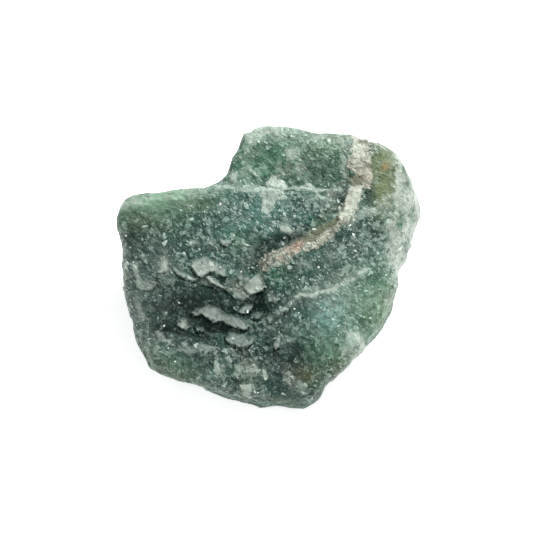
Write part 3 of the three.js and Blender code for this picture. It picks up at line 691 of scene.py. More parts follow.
    depth, _ = inside_distance(points[:, 0], points[:, 1], SEAM_SHAPE)
    ragged = 0.3 * chips(points, 1.3) + 0.15 * chips(points[:, [2, 0, 1]], 0.6) + 0.1 * lumps(points, 0.4)
    seam = smooth(depth + ragged + 0.3 * bell(x, y, 12.4, 8.2, 1.6, 1.6), -0.1, 0.12) * front
    gaps = smooth(-chips(points, 1.1), -0.1, 0.5) * bell(x, y, 0.4, 1.2, 3, 1.6, 20)
    seam = seam * (1 - 0.75 * gaps)
    seam_pale = seam * sum_of_bells(x, y, [
        (14.9, 19.3, 3.2, 2.9, 0, 0.68), (13.2, 11.6, 2, 3.2, -25, 1.4), (0.8, 1.3, 1.9, 0.9, 20, 0.3),
        (8.6, 4.9, 1.6, 0.5, 35, 0.55), (6.4, 3.8, 1.4, 0.5, 25, 0.8), (2.7, 2.2, 1, 1, 0, 0.6),
        (12.9, 8.1, 0.9, 0.8, 0, 0.55),
    ])  # fmt: skip
    brown = sum_of_bells(x, y, [(13.8, 14.8, 1.1, 1.3, 0, 1), (15.8, 14.7, 1.6, 1.6, 0, 0.42), (7.8, 6.2, 2.6, 0.8, 38, 0.8), (10.4, 7.9, 1.5, 0.8, 38, 0.9), (5.2, 5, 1, 0.5, 30, 0.8), (7.7, 5.4, 1.2, 0.5, 38, 0.4)])
    crumbs = sum_of_bells(x, y, [
        (8.4, 4.4, 1.8, 0.6, 35, 1), (5.9, 3.3, 1.6, 0.7, 25, 1), (2.6, 1.8, 1.2, 1, 0, 0.8),
        (0.2, 0.8, 1.5, 1, 20, 0.8), (13, 8.1, 0.9, 0.7, 0, 0.7), (13, 18.2, 0.6, 2.4, 0, 0.3),
    ])  # fmt: skip

    olive = front * sum_of_bells(x, y, [
        (18.8, 15.2, 2.7, 6, 0, 1.4), (8.6, 8, 2.4, 0.8, 38, 0.36),
        (-20.5, 7.8, 4, 2.4, 0, 0.5), (-11.5, 10.8, 4, 1.6, 5, 0.45), (17.5, -8, 3, 6, 10, 0.35),
        (11.8, 21.6, 1.6, 1.2, 0, 0.5), (-16, -16, 6, 2.5, -25, 0.3), (19.6, -4.6, 1.4, 3, -10, 0.5),
        (3, -21.4, 5, 1, 0, 0.4),
        (8.6, 19.8, 3.4, 2, -10, 0.4), (6.2, -17, 2.2, 1.6, 0, 0.9), (11, -15.5, 4, 2, 40, 0.4),
    ])  # fmt: skip
    rust = front * sum_of_bells(x, y, [
        (19, 16.9, 0.7, 0.7, 0, 0.7), (4.6, 3.7, 1.3, 0.8, 20, 0.9), (15.4, 14.9, 1.5, 0.9, 0, 0.2),
        (-5.2, -2.6, 1.8, 0.9, -20, 0.2), (5.9, -16.9, 2, 1.3, 0, 0.15), (10.8, -17.9, 4, 0.8, 42, 0.15), (2.2, 2.0, 0.9, 0.4, 20, 0.4),
    ])  # fmt: skip
    behind = 1 - front
    veil = behind * smooth(lumps(points, 5) + 0.4 * lumps(points, 1.6), -0.1, 0.7)
    green_cloud = behind * smooth(lumps(points[:, [1, 2, 0]], 6), -0.1, 0.5)
    gap, _, share = chain_distance(SHOULDER, x, y)
    mint = (0.74 + 0.28 * bell(x, y, -16, 11.6, 4, 3)) * np.exp(-((gap / 1.8) ** 2))
    mint = mint * (1 - 0.85 * smooth(share, 0.55, 0.95)) * (1 - 0.4 * smooth(-x, 18.5, 22))
    mint = np.maximum(mint, sum_of_bells(x, y, [(18.9, -6.2, 1.3, 2.8, -12, 0.8), (7.5, 20.4, 5, 1.2, -6, 0.2), (12, -13.6, 1.6, 1.4, 0, 0.3)]))
    mint = mint * front
    grey = sum_of_bells(x, y, [
        (-22, 0, 7, 9, 0, 1), (-1, -16, 12, 4, 0, 0.3), (-16, -16, 5, 4, 0, 0.3), (13.5, 3, 5, 3.5, 35, 0.9),
    ])  # fmt: skip
    teal = sum_of_bells(x, y, [
        (-3, 9, 8, 4, 0, 0.9), (9.5, -7.6, 5.5, 3.6, -20, 1.2), (14, -1, 6, 4, 30, 0.2),
    ])  # fmt: skip
    leaf = sum_of_bells(x, y, [
        (-1, 18, 7, 3.6, 0, 1), (8, 17, 5, 3.5, 0, 1), (17, -5, 4, 6, -10, 0.9), (8, -13, 4, 3.5, 0, 1),
        (-4, -18.5, 3.2, 2, 0, 0.7), (-15, -15, 5, 3, 0, 0.35), (-21, 8.5, 6, 3.5, 0, 0.5),
        (-4.2, 4.6, 3, 2, 0, 0.8), (2, -0.6, 4, 2, 0, 0.6), (21.6, 7.8, 0.9, 1.5, 0, 1),
        (23.8, 9, 0.7, 1.3, 0, 0.8), (-14, 8, 3, 2, 0, 0.4), (0, 23, 8, 2, 0, 0.6),
    ])  # fmt: skip
    jade = front * sum_of_bells(x, y, [
        (15.5, -6, 4.5, 6.5, 15, 0.9), (11, -10.6, 3.6, 2.6, 0, 0.6), (9, 20, 5, 1.6, -8, 0.4),
    ])  # fmt: skip
    # Painted shade, with some darker tone: near black in the hollow and its pit, the crevices and crack, the gaps
    # under the ledges and below the seam, and a darker green in a few patches.
    dark = sum_of_bells(x, y, [
        (-12.5, -6.2, 7.5, 3.4, -8, 0.9), (-9, -9.4, 5, 1.6, -10, 0.6), (-1.6, -5.2, 2.2, 2.6, 0, 0.55),
        (1, -12.5, 6, 3.8, 0, 0.3), (4.5, -15.5, 4.5, 4.5, 0, 0.5), (-14.5, -10.4, 5, 1.6, -12, 0.7),
        (-17, 4.5, 7, 4, 0, 0.4), (7.6, 16.4, 4.2, 2.8, 0, 0.75), (-1, 4, 3.4, 2, 0, 0.8),
        (-3, -18.5, 5, 2.5, 0, 0.35), (17.6, 5.6, 1.6, 1.2, 0, 0.2), (15.3, 14.6, 1.6, 1.1, 0, 0.2),
        (4, 6, 3.4, 2, 30, 0.6), (-3.2, 1.6, 2.6, 1.8, 0, 0.6), (-6.3, 1.8, 1.8, 1.4, 0, 0.45),
        (0, -14.5, 6, 3, 0, 0.4), (-16, -11.4, 3, 1.6, -10, 0.5), (-10.5, -14, 3.4, 2.4, 0, 0.4),
        (4, -0.5, 3, 2, 20, 0.5), (-22, 5, 4, 3, 0, 0.4), (1, -16.5, 5, 2.5, 0, 0.3),
        (-11.5, -12, 3.6, 1.7, 0, 0.5), (7, -11.6, 2.5, 2, 0, 0.35), (1.5, -11.5, 4, 2.4, 0, 0.3),
        (12.6, 5.2, 3.4, 1.6, 35, 0.45), (-12, -5, 5, 3, 0, 0.3),
        (5.9, -16.9, 2, 1.2, 0, 0.15), (9.2, -16.4, 1.6, 1.2, 0, 0.2), (-5.4, 9, 3.4, 2, 0, 0.25), (-19, 3, 4, 4, 0, 0.08),
        (-20.5, 7, 3, 1.6, 0, 0.2), (6.2, 10.2, 2.2, 1.6, 0, 0.5), (-10.3, 7.4, 2.5, 1.8, 0, 0.42), (-13.6, 7.4, 1.6, 1.4, 0, 0.25),
        (9.4, 3.4, 2.2, 1, 35, 0.05), (-17, -3, 1.8, 2.4, 0, 0.4), (4.4, -5.4, 2.4, 1.8, 0, 0.45),
        (2.6, -7.6, 1.8, 1.2, 0, 0.35), (-10.3, -13.3, 2, 1.6, 0, 0.55), (6, -20, 2, 1, 0, 0.5),
        (4, 20.4, 3, 1.4, -6, 0.2), (-0.2, 1.5, 1.5, 1, 20, 0.9), (8.6, 17.4, 2.6, 2.4, 0, 0.15),
        (16.3, 12.6, 1.1, 2.4, 0, 0.95), (19, 16.6, 1.8, 1.8, 0, 0.2), (-0.3, -10.2, 1.2, 1.6, 0, 0.5),
        (2.2, 4.6, 2.6, 0.9, 20, 0.4), (-0.5, 18.8, 2.4, 1.8, 0, 0.12), (-14.4, -15.6, 3, 2, -20, 0.2),
        (-3.6, -13.7, 2, 0.8, 0, 0.35), (0, -19.4, 5, 1, 0, 0.2), (1, -21.4, 7, 1, 0, 0.25), (7.8, -5.8, 3, 2.2, 0, 0.25), (-5.4, 9, 1.8, 1.4, 0, 0.3),
        (-9.8, -14, 1.8, 1.6, 0, 0.6), (6.6, -3.4, 3.4, 2.2, 0, 0.28), (19.2, -7.4, 1, 2, 0, 0.15),
        (-15, -10.4, 3, 0.9, -12, 0.45), (-13.4, -7.6, 1.8, 1, 0, 0.25), (-13, -13.4, 3, 1, 0, 0.2), (-17.8, -9.8, 2.4, 1.6, 0, 0.4),
        (-19.8, -6.4, 1.8, 1.4, 0, 0.25), (-6.4, -19.4, 1.8, 1, 0, 0.5), (-4.8, -18, 1.2, 0.8, 0, 0.5), (2.8, -19.2, 1.6, 1, 0, 0.3),
        (-4, -14, 1.6, 0.8, 0, 0.25), (-13.6, -4.4, 1.6, 1.2, 0, 0.12),
    ]) * front  # fmt: skip
    smoother = np.exp(-((gap / 3) ** 2)) * (1 - 0.7 * smooth(share, 0.55, 1))
    rim = 0.45 * (1 - off_rim(points))
    calm = np.maximum.reduce([
        0.85 * smoother * front, 0.3 * leaf, 0.55 * olive, 0.7 * pale, 0.7 * wash, 0.35 * behind, 0.7 * plates[2], rim,
        0.7 * np.clip(seam_pale, 0, 1),
        0.35 * bell(x, y, -21, 0, 4, 9), 0.4 * bell(x, y, -12, -15.5, 7, 3, -15),
    ])  # fmt: skip
    pebbles = sum_of_bells(x, y, [
        (-2, -15.5, 6, 3.6, -10, 1), (-17, -8.4, 3, 1.6, -20, 0.5), (-19, -2, 3, 6, 0, 0.5),
        (3.4, -7.4, 2, 3, 0, 0.7), (-18, 1.4, 3, 1.6, -10, 0.4),
        (-6, 5, 4, 2, 0, 0.2), (-2.8, 1.2, 1.6, 1.6, 0, 1.2), (-13, -12.4, 5, 1, -8, 0.6), (-19, 5, 4, 3, 0, 0.4),
    ]) * (1 - np.clip(1.2 * plates[2] + pale, 0, 1))  # fmt: skip
    return dict(
        pebbles=pebbles, pale=pale, seam=seam, seam_pale=seam_pale, olive=olive, rust=rust, mint=mint,
        grey=grey * front + 0.6 * behind, teal=teal * front, leaf=leaf * front + 0.7 * green_cloud,
        dark=dark, calm=calm, ledge=plates[0], lip=plates[1], jade=jade, brown=brown * front,
        wash=wash * front + 0.3 * veil,
        crumbs=crumbs,
    )  # fmt: skip


def write_masks(piece, masks):
    """Stores the masks as colour attributes, three to each, a value for each point."""
    def colour(name, *channels):
        """One colour attribute from three masks."""
        values = np.ones((len(piece.data.vertices), 4), np.float32)
        for i, channel in enumerate(channels):
            values[:, i] = np.clip(masks[channel], 0, 1)
        layer = piece.data.color_attributes.new(name=name, type="FLOAT_COLOR", domain="POINT")
        layer.data.foreach_set("color", values.ravel())

    colour("marks", "pale", "seam", "rust")
    colour("tones", "mint", "grey", "olive")
    colour("greens", "teal", "leaf", "calm")
    colour("shade_seam_spark", "dark", "seam_pale", "spark")
    colour("plates", "ledge", "lip", "jade")
    colour("crusts", "brown", "wash")


masks = colour_masks(surface, plates)
masks["spark"] = np.full(len(surface), 0.42)
write_masks(stone, masks)
print("share of the surface that is pale:", round(float((masks["pale"] > 0.5).mean()), 3))

# %% [markdown]
# ## Sugary grain
# Broken amazonite and the quartz in it look like coarse sugar: thousands of small crystals, each
# with its own flat faces that catch the light. A bump in a material can't glitter like that, so
# the larger grains are real: small blocks with eight shifted corners, sunk more than half way into
# the surface, each turned its own way. A few hundred larger ones are thin flakes that lie along
# the surface, and slivers lie along one slanting direction. A fixed seed makes the same grains
# each time. Each grain has a brightness of its own: bright grains are painted paler, and a few are
# painted white, as painted glints.

# %% Grains
GRAIN_CORNERS = np.array(list(np.ndindex(2, 2, 2))) * 2.0 - 1
STREAM = unit(lay_down(np.array([[1.0, -1, 0]])) - lay_down(np.zeros((1, 3))))[0]  # way of the slivers
GRAIN_FACES = np.array([
    [0, 1, 3, 2], [4, 6, 7, 5], [0, 4, 5, 1], [2, 3, 7, 6], [0, 2, 6, 4], [1, 5, 7, 3],
])  # fmt: skip


def random_turns(count, rng):
    """Turning matrices from random quaternions of length 1."""
    w, x, y, z = unit(rng.normal(size=(count, 4))).T
    return np.array([
        [1 - 2 * (y * y + z * z), 2 * (x * y - z * w), 2 * (x * z + y * w)],
        [2 * (x * y + z * w), 1 - 2 * (x * x + z * z), 2 * (y * z - x * w)],
        [2 * (x * z - y * w), 2 * (y * z + x * w), 1 - 2 * (x * x + y * y)],
    ]).transpose(2, 0, 1)  # fmt: skip


def scatter(count, rng, weight):
    """Points, normals and face numbers drawn on the stone, as often as area times weight."""
    corners = stone_points[quads]
    across = np.cross(corners[:, 2] - corners[:, 0], corners[:, 3] - corners[:, 1])
    area = np.linalg.norm(across, axis=1)
    chance = np.cumsum(area * weight)
    chosen = np.searchsorted(chance, rng.random(count) * chance[-1])
    u, v = rng.random((2, count, 1))
    c = corners[chosen]
    place = (c[:, 0] * (1 - u) + c[:, 1] * u) * (1 - v) + (c[:, 3] * (1 - u) + c[:, 2] * u) * v
    return place, across[chosen] / area[chosen, None], chosen


def lying_turns(normals, tilt, rng):
    """Turning matrices whose third axis is near each normal, with a random spin about it."""
    out = unit(normals + rng.normal(size=normals.shape) * tilt)
    side = unit(np.cross(out, rng.normal(size=normals.shape)))
    return np.stack([side, np.cross(out, side), out], axis=2)


def streaming_turns(normals, tilt, spread, rng):
    """As lying_turns, but the first axis keeps to STREAM, apart from a spin of about spread."""
    out = unit(normals + rng.normal(size=normals.shape) * tilt)
    side = unit(STREAM - out * (out @ STREAM)[:, None])
    spin = rng.normal(size=(len(out), 1)) * spread
    side = side * np.cos(spin) + np.cross(out, side) * np.sin(spin)
    return np.stack([side, np.cross(out, side), out], axis=2)


def place_copies(name, shape, faces, scatter_rule, rng, size, turns):
    """A piece of many copies of a shape: corners turned, and moved to points on the stone."""
    place, normal, chosen, sink = scatter_rule
    corners = np.einsum("nij,nkj->nki", turns, shape) + (place - normal * size * sink)[:, None]
    keep = corners[:, :, 2].min(axis=1) > 0.0002
    corners = corners[keep]
    each = corners.shape[1]
    offset = each * np.arange(len(corners))
    rows = [(np.array(face)[None] + offset[:, None]).tolist() for face in faces]
    mesh = bpy.data.meshes.new(name)
    mesh.from_pydata(corners.reshape(-1, 3).tolist(), [], [face for group in rows for face in group])
    piece = bpy.data.objects.new(name, mesh)
    bpy.context.scene.collection.objects.link(piece)
    return piece, quads[chosen[keep], 0], each


def grain_piece(name, count, seed, sizes, sink, weight, brightness):
    """Blocks: corners times three half sizes, each corner shifted, turned every way."""
    rng = np.random.default_rng(seed)
    place, normal, chosen = scatter(count, rng, weight)
    size = (sizes[0] + (sizes[1] - sizes[0]) * rng.random((count, 1)) ** 2.2) * MILLIMETRE
    size = size * smaller_at_rim(chosen)
    half = size * rng.uniform(0.5, 1.0, (count, 3)) * [1, 0.8, 0.8]
    shape = GRAIN_CORNERS[None] * half[:, None] * rng.uniform(0.55, 1.1, (count, 8, 3))
    piece, host, each = place_copies(
        name, shape, GRAIN_FACES.tolist(), (place, normal, chosen, sink), rng, size, random_turns(count, rng)
    )
    finish_grains(piece, host, each, rng, brightness)
    return piece


def sliver_piece(name, count, seed, lengths, sink, weight, brightness):
    """Slivers: long thin blocks that lie along STREAM, close to the surface."""
    rng = np.random.default_rng(seed)
    place, normal, chosen = scatter(count, rng, weight)
    length = (lengths[0] + (lengths[1] - lengths[0]) * rng.random((count, 1)) ** 1.6) * MILLIMETRE
    length = length * smaller_at_rim(chosen)
    half = length * np.column_stack([np.ones(count), rng.uniform(0.26, 0.42, count), np.full(count, 0.25)])
    shape = GRAIN_CORNERS[None] * half[:, None] * rng.uniform(0.6, 1.1, (count, 8, 3))
    turns = streaming_turns(normal, 0.12, 0.45, rng)
    piece, host, each = place_copies(
        name, shape, GRAIN_FACES.tolist(), (place, normal, chosen, sink), rng, length * 0.3, turns
    )
    finish_grains(piece, host, each, rng, brightness)
    return piece


def flake_piece(name, count, seed, sizes, sink, tilt, weight, brightness):
    """Flakes: ragged seven-sided plates, a ring above and a ring below, lying near the surface."""
    rng = np.random.default_rng(seed)
    place, normal, chosen = scatter(count, rng, weight)
    size = (sizes[0] + (sizes[1] - sizes[0]) * rng.random((count, 1)) ** 1.8) * MILLIMETRE
    size = size * smaller_at_rim(chosen)
    turn = np.arange(7) / 7 * 2 * math.pi + rng.uniform(-0.3, 0.3, (count, 7))
    reach = size * rng.uniform(0.55, 1.1, (count, 7))
    stretch = rng.uniform(0.45, 1.0, (count, 1))
    top = np.stack([np.cos(turn) * reach, np.sin(turn) * reach * stretch, 0 * turn], axis=2)
    top[:, :, 2] = size * rng.uniform(-0.08, 0.08, (count, 7))
    low = top * [1.15, 1.15, 1] - [0, 0, 1] * size[:, None] * 0.5
    shape = np.concatenate([top, low], axis=1)
    sides = [[i, i + 7, (i + 1) % 7 + 7, (i + 1) % 7] for i in range(7)]
    faces = [list(range(7)), list(range(13, 6, -1)), *sides]
    piece, host, each = place_copies(
        name, shape, faces, (place, normal, chosen, sink), rng, size, lying_turns(normal, tilt, rng)
    )
    finish_grains(piece, host, each, rng, brightness)
    return piece


def smaller_at_rim(chosen):
    """1 on the broad face and low on the sides, less on the rim, where grains would fray the outline."""
    return 0.4 + 0.6 * off_rim(surface)[quads[chosen, 0]][:, None]


def finish_grains(piece, host, each, rng, brightness):
    """Gives every copy the masks of the place it sits on, and a brightness of its own."""
    here = {key: np.repeat(values[host], each) for key, values in masks.items()}
    # A brightness of 0.94 and more is painted white in the colour group, as a painted glint.
    here["spark"] = np.repeat(rng.normal(*brightness, len(host)).clip(0, max(0.93, brightness[0])), each)
    write_masks(piece, here)
    print(piece.name, "copies:", len(host), "faces:", len(piece.data.polygons))


calm = masks["calm"][quads[:, 0]]
# Fewer pale grains and slivers where shade is painted.
shaded = masks["dark"][quads[:, 0]]
on_face = facing(surface)[quads[:, 0]]
busy = (1 - 0.97 * calm) * (0.45 + 0.55 * np.maximum(on_face, 0.3 * off_rim(surface)[quads[:, 0]]))
crowded = smooth(lumps(surface, 3.3), -0.6, 0.5)[quads[:, 0]] + 0.1
beside_seam = masks["crumbs"][quads[:, 0]]
pebbly = masks["pebbles"][quads[:, 0]] * on_face
off_seam = 1 - masks["seam"][quads[:, 0]]
# Painted glints crowd around one spot on the face, by the ledges.
glittering = 1 + 14 * bell(surface[:, 0], surface[:, 1], -2.8, 0.2, 1.4, 1.4)[quads[:, 0]]
streaky = busy * crowded * (1 - 0.75 * shaded) * (1 - 0.6 * np.clip(pebbly, 0, 1))
grains = [
    grain_piece("pale_grains", 5500, 11, (0.10, 0.28), 0.4, busy * (1 - 0.7 * shaded), (0.62, 0.19)),
    grain_piece("green_grains", 6200, 12, (0.12, 0.36), 0.5, busy, (0.40, 0.12)),
    sliver_piece("pale_slivers", 3900, 14, (0.18, 0.42), 0.2, streaky, (0.59, 0.15)),
    flake_piece("small_flakes", 2100, 13, (0.22, 0.66), -0.08, 0.18, busy**2 * crowded, (0.57, 0.14)),
    flake_piece("broad_flakes", 230, 17, (0.35, 0.95), 0.12, 0.2, pebbly, (0.84, 0.06)),
    grain_piece("seam_crumbs", 260, 16, (0.3, 0.85), 0.45, beside_seam, (0.5, 0.12)),
    # Crystals of full brightness, painted white as glints.
    grain_piece("painted_glint_crystals", 85, 15, (0.14, 0.32), 0.1, busy * glittering * off_seam, (1.0, 0.0)),
]

# %% [markdown]
# ## Colour of the stone
# Three pieces share this colour, so it is a node group: it reads the masks, breaks their edges with
# noise, mixes the greens, paints shade into the hollow and crevices, and lays cream, tan, rust and
# olive over them. It paints the brightest grains paler and the very brightest white, as painted
# glints. It also gives a height for the bump and a mask for the brightest specks.

# %% Stone colour group
GREENS = {
    "deep": (0.014, 0.054, 0.040),
    "middle": (0.038, 0.104, 0.082),
    "grey": (0.060, 0.092, 0.078),
    "teal": (0.060, 0.150, 0.126),
    "leaf": (0.040, 0.130, 0.072),
    "mint": (0.205, 0.360, 0.240),
    "olive": (0.112, 0.145, 0.054),
    "jade": (0.125, 0.235, 0.170),
}
PALE = (0.40, 0.47, 0.405)
FLAKE = (0.30, 0.39, 0.335)
LEAF_FLAKE = (0.20, 0.36, 0.25)
# GLINT and the white below are painted highlights: the brightest grains take them as colour.
GLINT = (0.56, 0.67, 0.60)
SEAM_BROWN = (0.135, 0.155, 0.10)
SEAM_GREY = (0.215, 0.222, 0.175)
TAN = (0.275, 0.27, 0.215)
GLINT_WHITE = (0.86, 0.92, 0.88)
CREAM = (0.45, 0.482, 0.40)
RUST = (0.46, 0.31, 0.235)
ORANGE = (0.30, 0.19, 0.075)
WASH = (0.39, 0.44, 0.375)
FROST = (0.27, 0.45, 0.41)
# SHADE is painted shade, the near black of the hollow and the crevices.
SHADE = (0.003, 0.017, 0.013)
PLATE_DIM = (0.195, 0.23, 0.205)
PLATE = (0.295, 0.348, 0.31)
LIP = (0.45, 0.51, 0.453)


def add_node(tree, kind, inputs=None, **settings):
    """A node with its settings and its inputs: a value is set, a socket is linked."""
    made = tree.nodes.new(kind)
    for key, value in settings.items():
        setattr(made, key, value)
    for key, value in (inputs or {}).items():
        if isinstance(value, bpy.types.NodeSocket):
            tree.links.new(value, made.inputs[key])
        else:
            made.inputs[key].default_value = value
    return made


def math_node(tree, operation, a, b=0.0, clamp=False):
    """One sum, product or other operation on two values."""
    return add_node(tree, "ShaderNodeMath", {0: a, 1: b}, operation=operation, use_clamp=clamp).outputs[0]


def blend_colours(tree, share, a, b):
    """Colour a, moved to colour b by a share."""
    rgba = [value if isinstance(value, bpy.types.NodeSocket) else (*value, 1.0) for value in (a, b)]
    made = add_node(tree, "ShaderNodeMix", data_type="RGBA")
    for key, value in zip((0, 6, 7), (share, *rgba)):
        if isinstance(value, bpy.types.NodeSocket):
            tree.links.new(value, made.inputs[key])
        else:
            made.inputs[key].default_value = value
    return made.outputs[2]


def broken(tree, mask, noise, amount):
    """A mask whose soft edge is broken up: it gains and loses some noise, then is steepened."""
    moved = math_node(tree, "MULTIPLY_ADD", noise, amount)
    tree.nodes[-1].inputs[2].default_value = -0.5 * amount
    total = math_node(tree, "ADD", mask, moved)
    steep = add_node(tree, "ShaderNodeMapRange", {0: total, 1: 0.3, 2: 0.62}, interpolation_type="SMOOTHSTEP")
    return steep.outputs[0]


def stone_colour_group():
    """Group with the stone's colour, a height for bump, and a mask of the bright specks."""
    tree = bpy.data.node_groups.new("stone colour", "ShaderNodeTree")
    tree.interface.new_socket("Grain size", in_out="INPUT", socket_type="NodeSocketFloat").default_value = 2100
    tree.interface.new_socket("Lightness", in_out="INPUT", socket_type="NodeSocketFloat").default_value = 0.5
    tree.interface.new_socket("Color", in_out="OUTPUT", socket_type="NodeSocketColor")
    tree.interface.new_socket("Height", in_out="OUTPUT", socket_type="NodeSocketFloat")
    tree.interface.new_socket("Speck", in_out="OUTPUT", socket_type="NodeSocketFloat")
    given = tree.nodes.new("NodeGroupInput")
    result = tree.nodes.new("NodeGroupOutput")
    place = tree.nodes.new("ShaderNodeTexCoord").outputs["Object"]

    def mask(name):
        """Three masks from one attribute."""
        read = add_node(tree, "ShaderNodeAttribute", attribute_name=name)
        return add_node(tree, "ShaderNodeSeparateColor", {0: read.outputs["Color"]}).outputs

    def cloud(scale, detail=3.0):
        """Noise over the stone, with about this many waves a metre."""
        return add_node(
            tree, "ShaderNodeTexNoise", {"Vector": place, "Scale": scale, "Detail": detail}
        ).outputs["Fac"]

    marks, tones, greens, shade_seam_spark = mask("marks"), mask("tones"), mask("greens"), mask("shade_seam_spark")
    plates, crusts = mask("plates"), mask("crusts")
    broad, middle, fine = cloud(110), cloud(420), cloud(1500)
    stir = add_node(tree, "ShaderNodeTexNoise", {"Vector": place, "Scale": 900.0, "Detail": 2.0})
    centred = add_node(tree, "ShaderNodeVectorMath", {0: stir.outputs["Color"], 1: (0.5, 0.5, 0.5)}, operation="SUBTRACT")
    pushed = add_node(tree, "ShaderNodeVectorMath", {0: centred.outputs[0], 3: 0.0014}, operation="SCALE")
    warped = add_node(tree, "ShaderNodeVectorMath", {0: place, 1: pushed.outputs[0]}).outputs[0]

    def ramp(value, low, high, start=0.0, end=1.0):
        """A value from low to high, moved to the range from start to end and held there."""
        return add_node(
            tree, "ShaderNodeMapRange", {0: value, 1: low, 2: high, 3: start, 4: end}
        ).outputs[0]

    def crystals(where, scale):
        """Cells with ragged sides: three random numbers for each, and the distance to its middle."""
        cells = add_node(tree, "ShaderNodeTexVoronoi", {"Vector": where, "Scale": scale})
        chances = add_node(tree, "ShaderNodeSeparateColor", {0: cells.outputs["Color"]}).outputs
        return chances, cells.outputs["Distance"]

    large, _ = crystals(warped, 1150.0)
    upright = add_node(
        tree, "ShaderNodeVectorRotate", {"Vector": warped, "Angle": -FACE_LEAN}, rotation_type="X_AXIS"
    ).outputs[0]
    slanted = add_node(
        tree,
        "ShaderNodeMapping",
        {"Vector": upright, "Rotation": (0, 0, -math.pi / 4), "Scale": (1.9, 1, 1)},
        vector_type="TEXTURE",
    ).outputs[0]
    small, small_distance = crystals(slanted, given.outputs["Grain size"])

    spread = ramp(broad, 0.35, 0.65)
    colour = blend_colours(tree, spread, GREENS["deep"], GREENS["middle"])
    tone_masks = dict(
        grey=tones[1], teal=greens[0], leaf=greens[1], jade=plates[2], mint=tones[0], olive=tones[2]
    )
    for name, share in tone_masks.items():
        colour = blend_colours(tree, math_node(tree, "MULTIPLY", share, 0.85), colour, GREENS[name])
    # Painted shade: the green is taken towards the near black SHADE by the mask of painted shade.
    colour = blend_colours(tree, math_node(tree, "MULTIPLY", shade_seam_spark[0], 0.86), colour, SHADE)

    plate = blend_colours(tree, ramp(middle, 0.38, 0.6), PLATE_DIM, PLATE)
    plate = blend_colours(tree, ramp(fine, 0.5, 0.72, 0.0, 0.6), plate, GREENS["grey"])
    plate = blend_colours(tree, math_node(tree, "MULTIPLY", marks[2], 0.9), plate, TAN)
    plate = blend_colours(tree, math_node(tree, "MULTIPLY", plates[1], 1.4, clamp=True), plate, LIP)
    colour = blend_colours(tree, math_node(tree, "MULTIPLY", plates[0], 1.2, clamp=True), colour, plate)

    patchy = ramp(large[2], 0, 1, -1.2, 1.2)
    patchy = math_node(tree, "MULTIPLY", patchy, math_node(tree, "SUBTRACT", 1.0, crusts[1]))
    washed = math_node(tree, "MULTIPLY", crusts[1], math_node(tree, "ADD", patchy, 1.0))
    washed = math_node(tree, "MULTIPLY", washed, ramp(fine, 0.3, 0.6, 0.6, 1.1), clamp=True)
    haze = blend_colours(tree, greens[0], WASH, FROST)
    colour = blend_colours(tree, washed, colour, haze)
    seam = blend_colours(tree, ramp(middle, 0.4, 0.6), SEAM_GREY, TAN)
    seam = blend_colours(tree, ramp(small[2], 0.6, 0.75, 0, 0.6), seam, CREAM)
    seam = blend_colours(tree, broken(tree, shade_seam_spark[1], fine, 0.5), seam, CREAM)
    seam = blend_colours(tree, broken(tree, crusts[0], fine, 0.4), seam, SEAM_BROWN)
    colour = blend_colours(tree, marks[1], colour, seam)
    stain = math_node(tree, "MULTIPLY", marks[2], ramp(small[0], 0.2, 0.7, 0.3, 1.0))
    colour = blend_colours(tree, stain, colour, blend_colours(tree, tones[2], RUST, ORANGE))
    pale_share = math_node(tree, "MULTIPLY", marks[0], ramp(fine, 0.35, 0.55, 0.75, 1.1), clamp=True)
    colour = blend_colours(tree, pale_share, colour, PALE)

    shifts = ramp(small[0], 0, 1, 0.74, 1.26)
    light = math_node(tree, "MULTIPLY_ADD", given.outputs["Lightness"], 1.3)
    tree.nodes[-1].inputs[2].default_value = 0.45
    gain = math_node(tree, "MULTIPLY", math_node(tree, "MULTIPLY", ramp(middle, 0.3, 0.7, 0.74, 1.23), shifts), light)
    quiet = math_node(tree, "MULTIPLY_ADD", greens[2], -0.9)
    tree.nodes[-1].inputs[2].default_value = 1.0
    even = math_node(tree, "MULTIPLY_ADD", greens[2], -0.6)
    tree.nodes[-1].inputs[2].default_value = 1.0
    gain = add_node(tree, "ShaderNodeMix", {0: even, 2: 1.0, 3: gain}).outputs[0]
    colour = add_node(tree, "ShaderNodeVectorMath", {0: colour, 3: gain}, operation="SCALE").outputs[0]

    crowd = ramp(cloud(300, 2.0), 0.3, 0.7, -0.28, 0.22)
    big_flakes = math_node(tree, "MULTIPLY", ramp(math_node(tree, "ADD", large[0], crowd), 0.78, 0.86), ramp(large[1], 0, 1, 0.2, 0.85))
    little_flakes = math_node(tree, "MULTIPLY", ramp(math_node(tree, "ADD", small[1], crowd), 0.74, 0.82), ramp(small[2], 0, 1, 0.2, 1.0))
    flakes = math_node(tree, "MAXIMUM", big_flakes, little_flakes)
    # Flakes and glints are dimmed where shade is painted.
    dimmed = math_node(tree, "MULTIPLY_ADD", shade_seam_spark[0], -0.7)
    tree.nodes[-1].inputs[2].default_value = 1.0
    flakes = math_node(tree, "MULTIPLY", math_node(tree, "MULTIPLY", flakes, dimmed), quiet)
    on_seam = math_node(tree, "SUBTRACT", 1.0, marks[1])
    flakes = math_node(tree, "MULTIPLY", flakes, on_seam)
    flake_colour = blend_colours(tree, math_node(tree, "MULTIPLY", greens[1], 0.6), FLAKE, LEAF_FLAKE)
    colour = blend_colours(tree, flakes, colour, flake_colour)

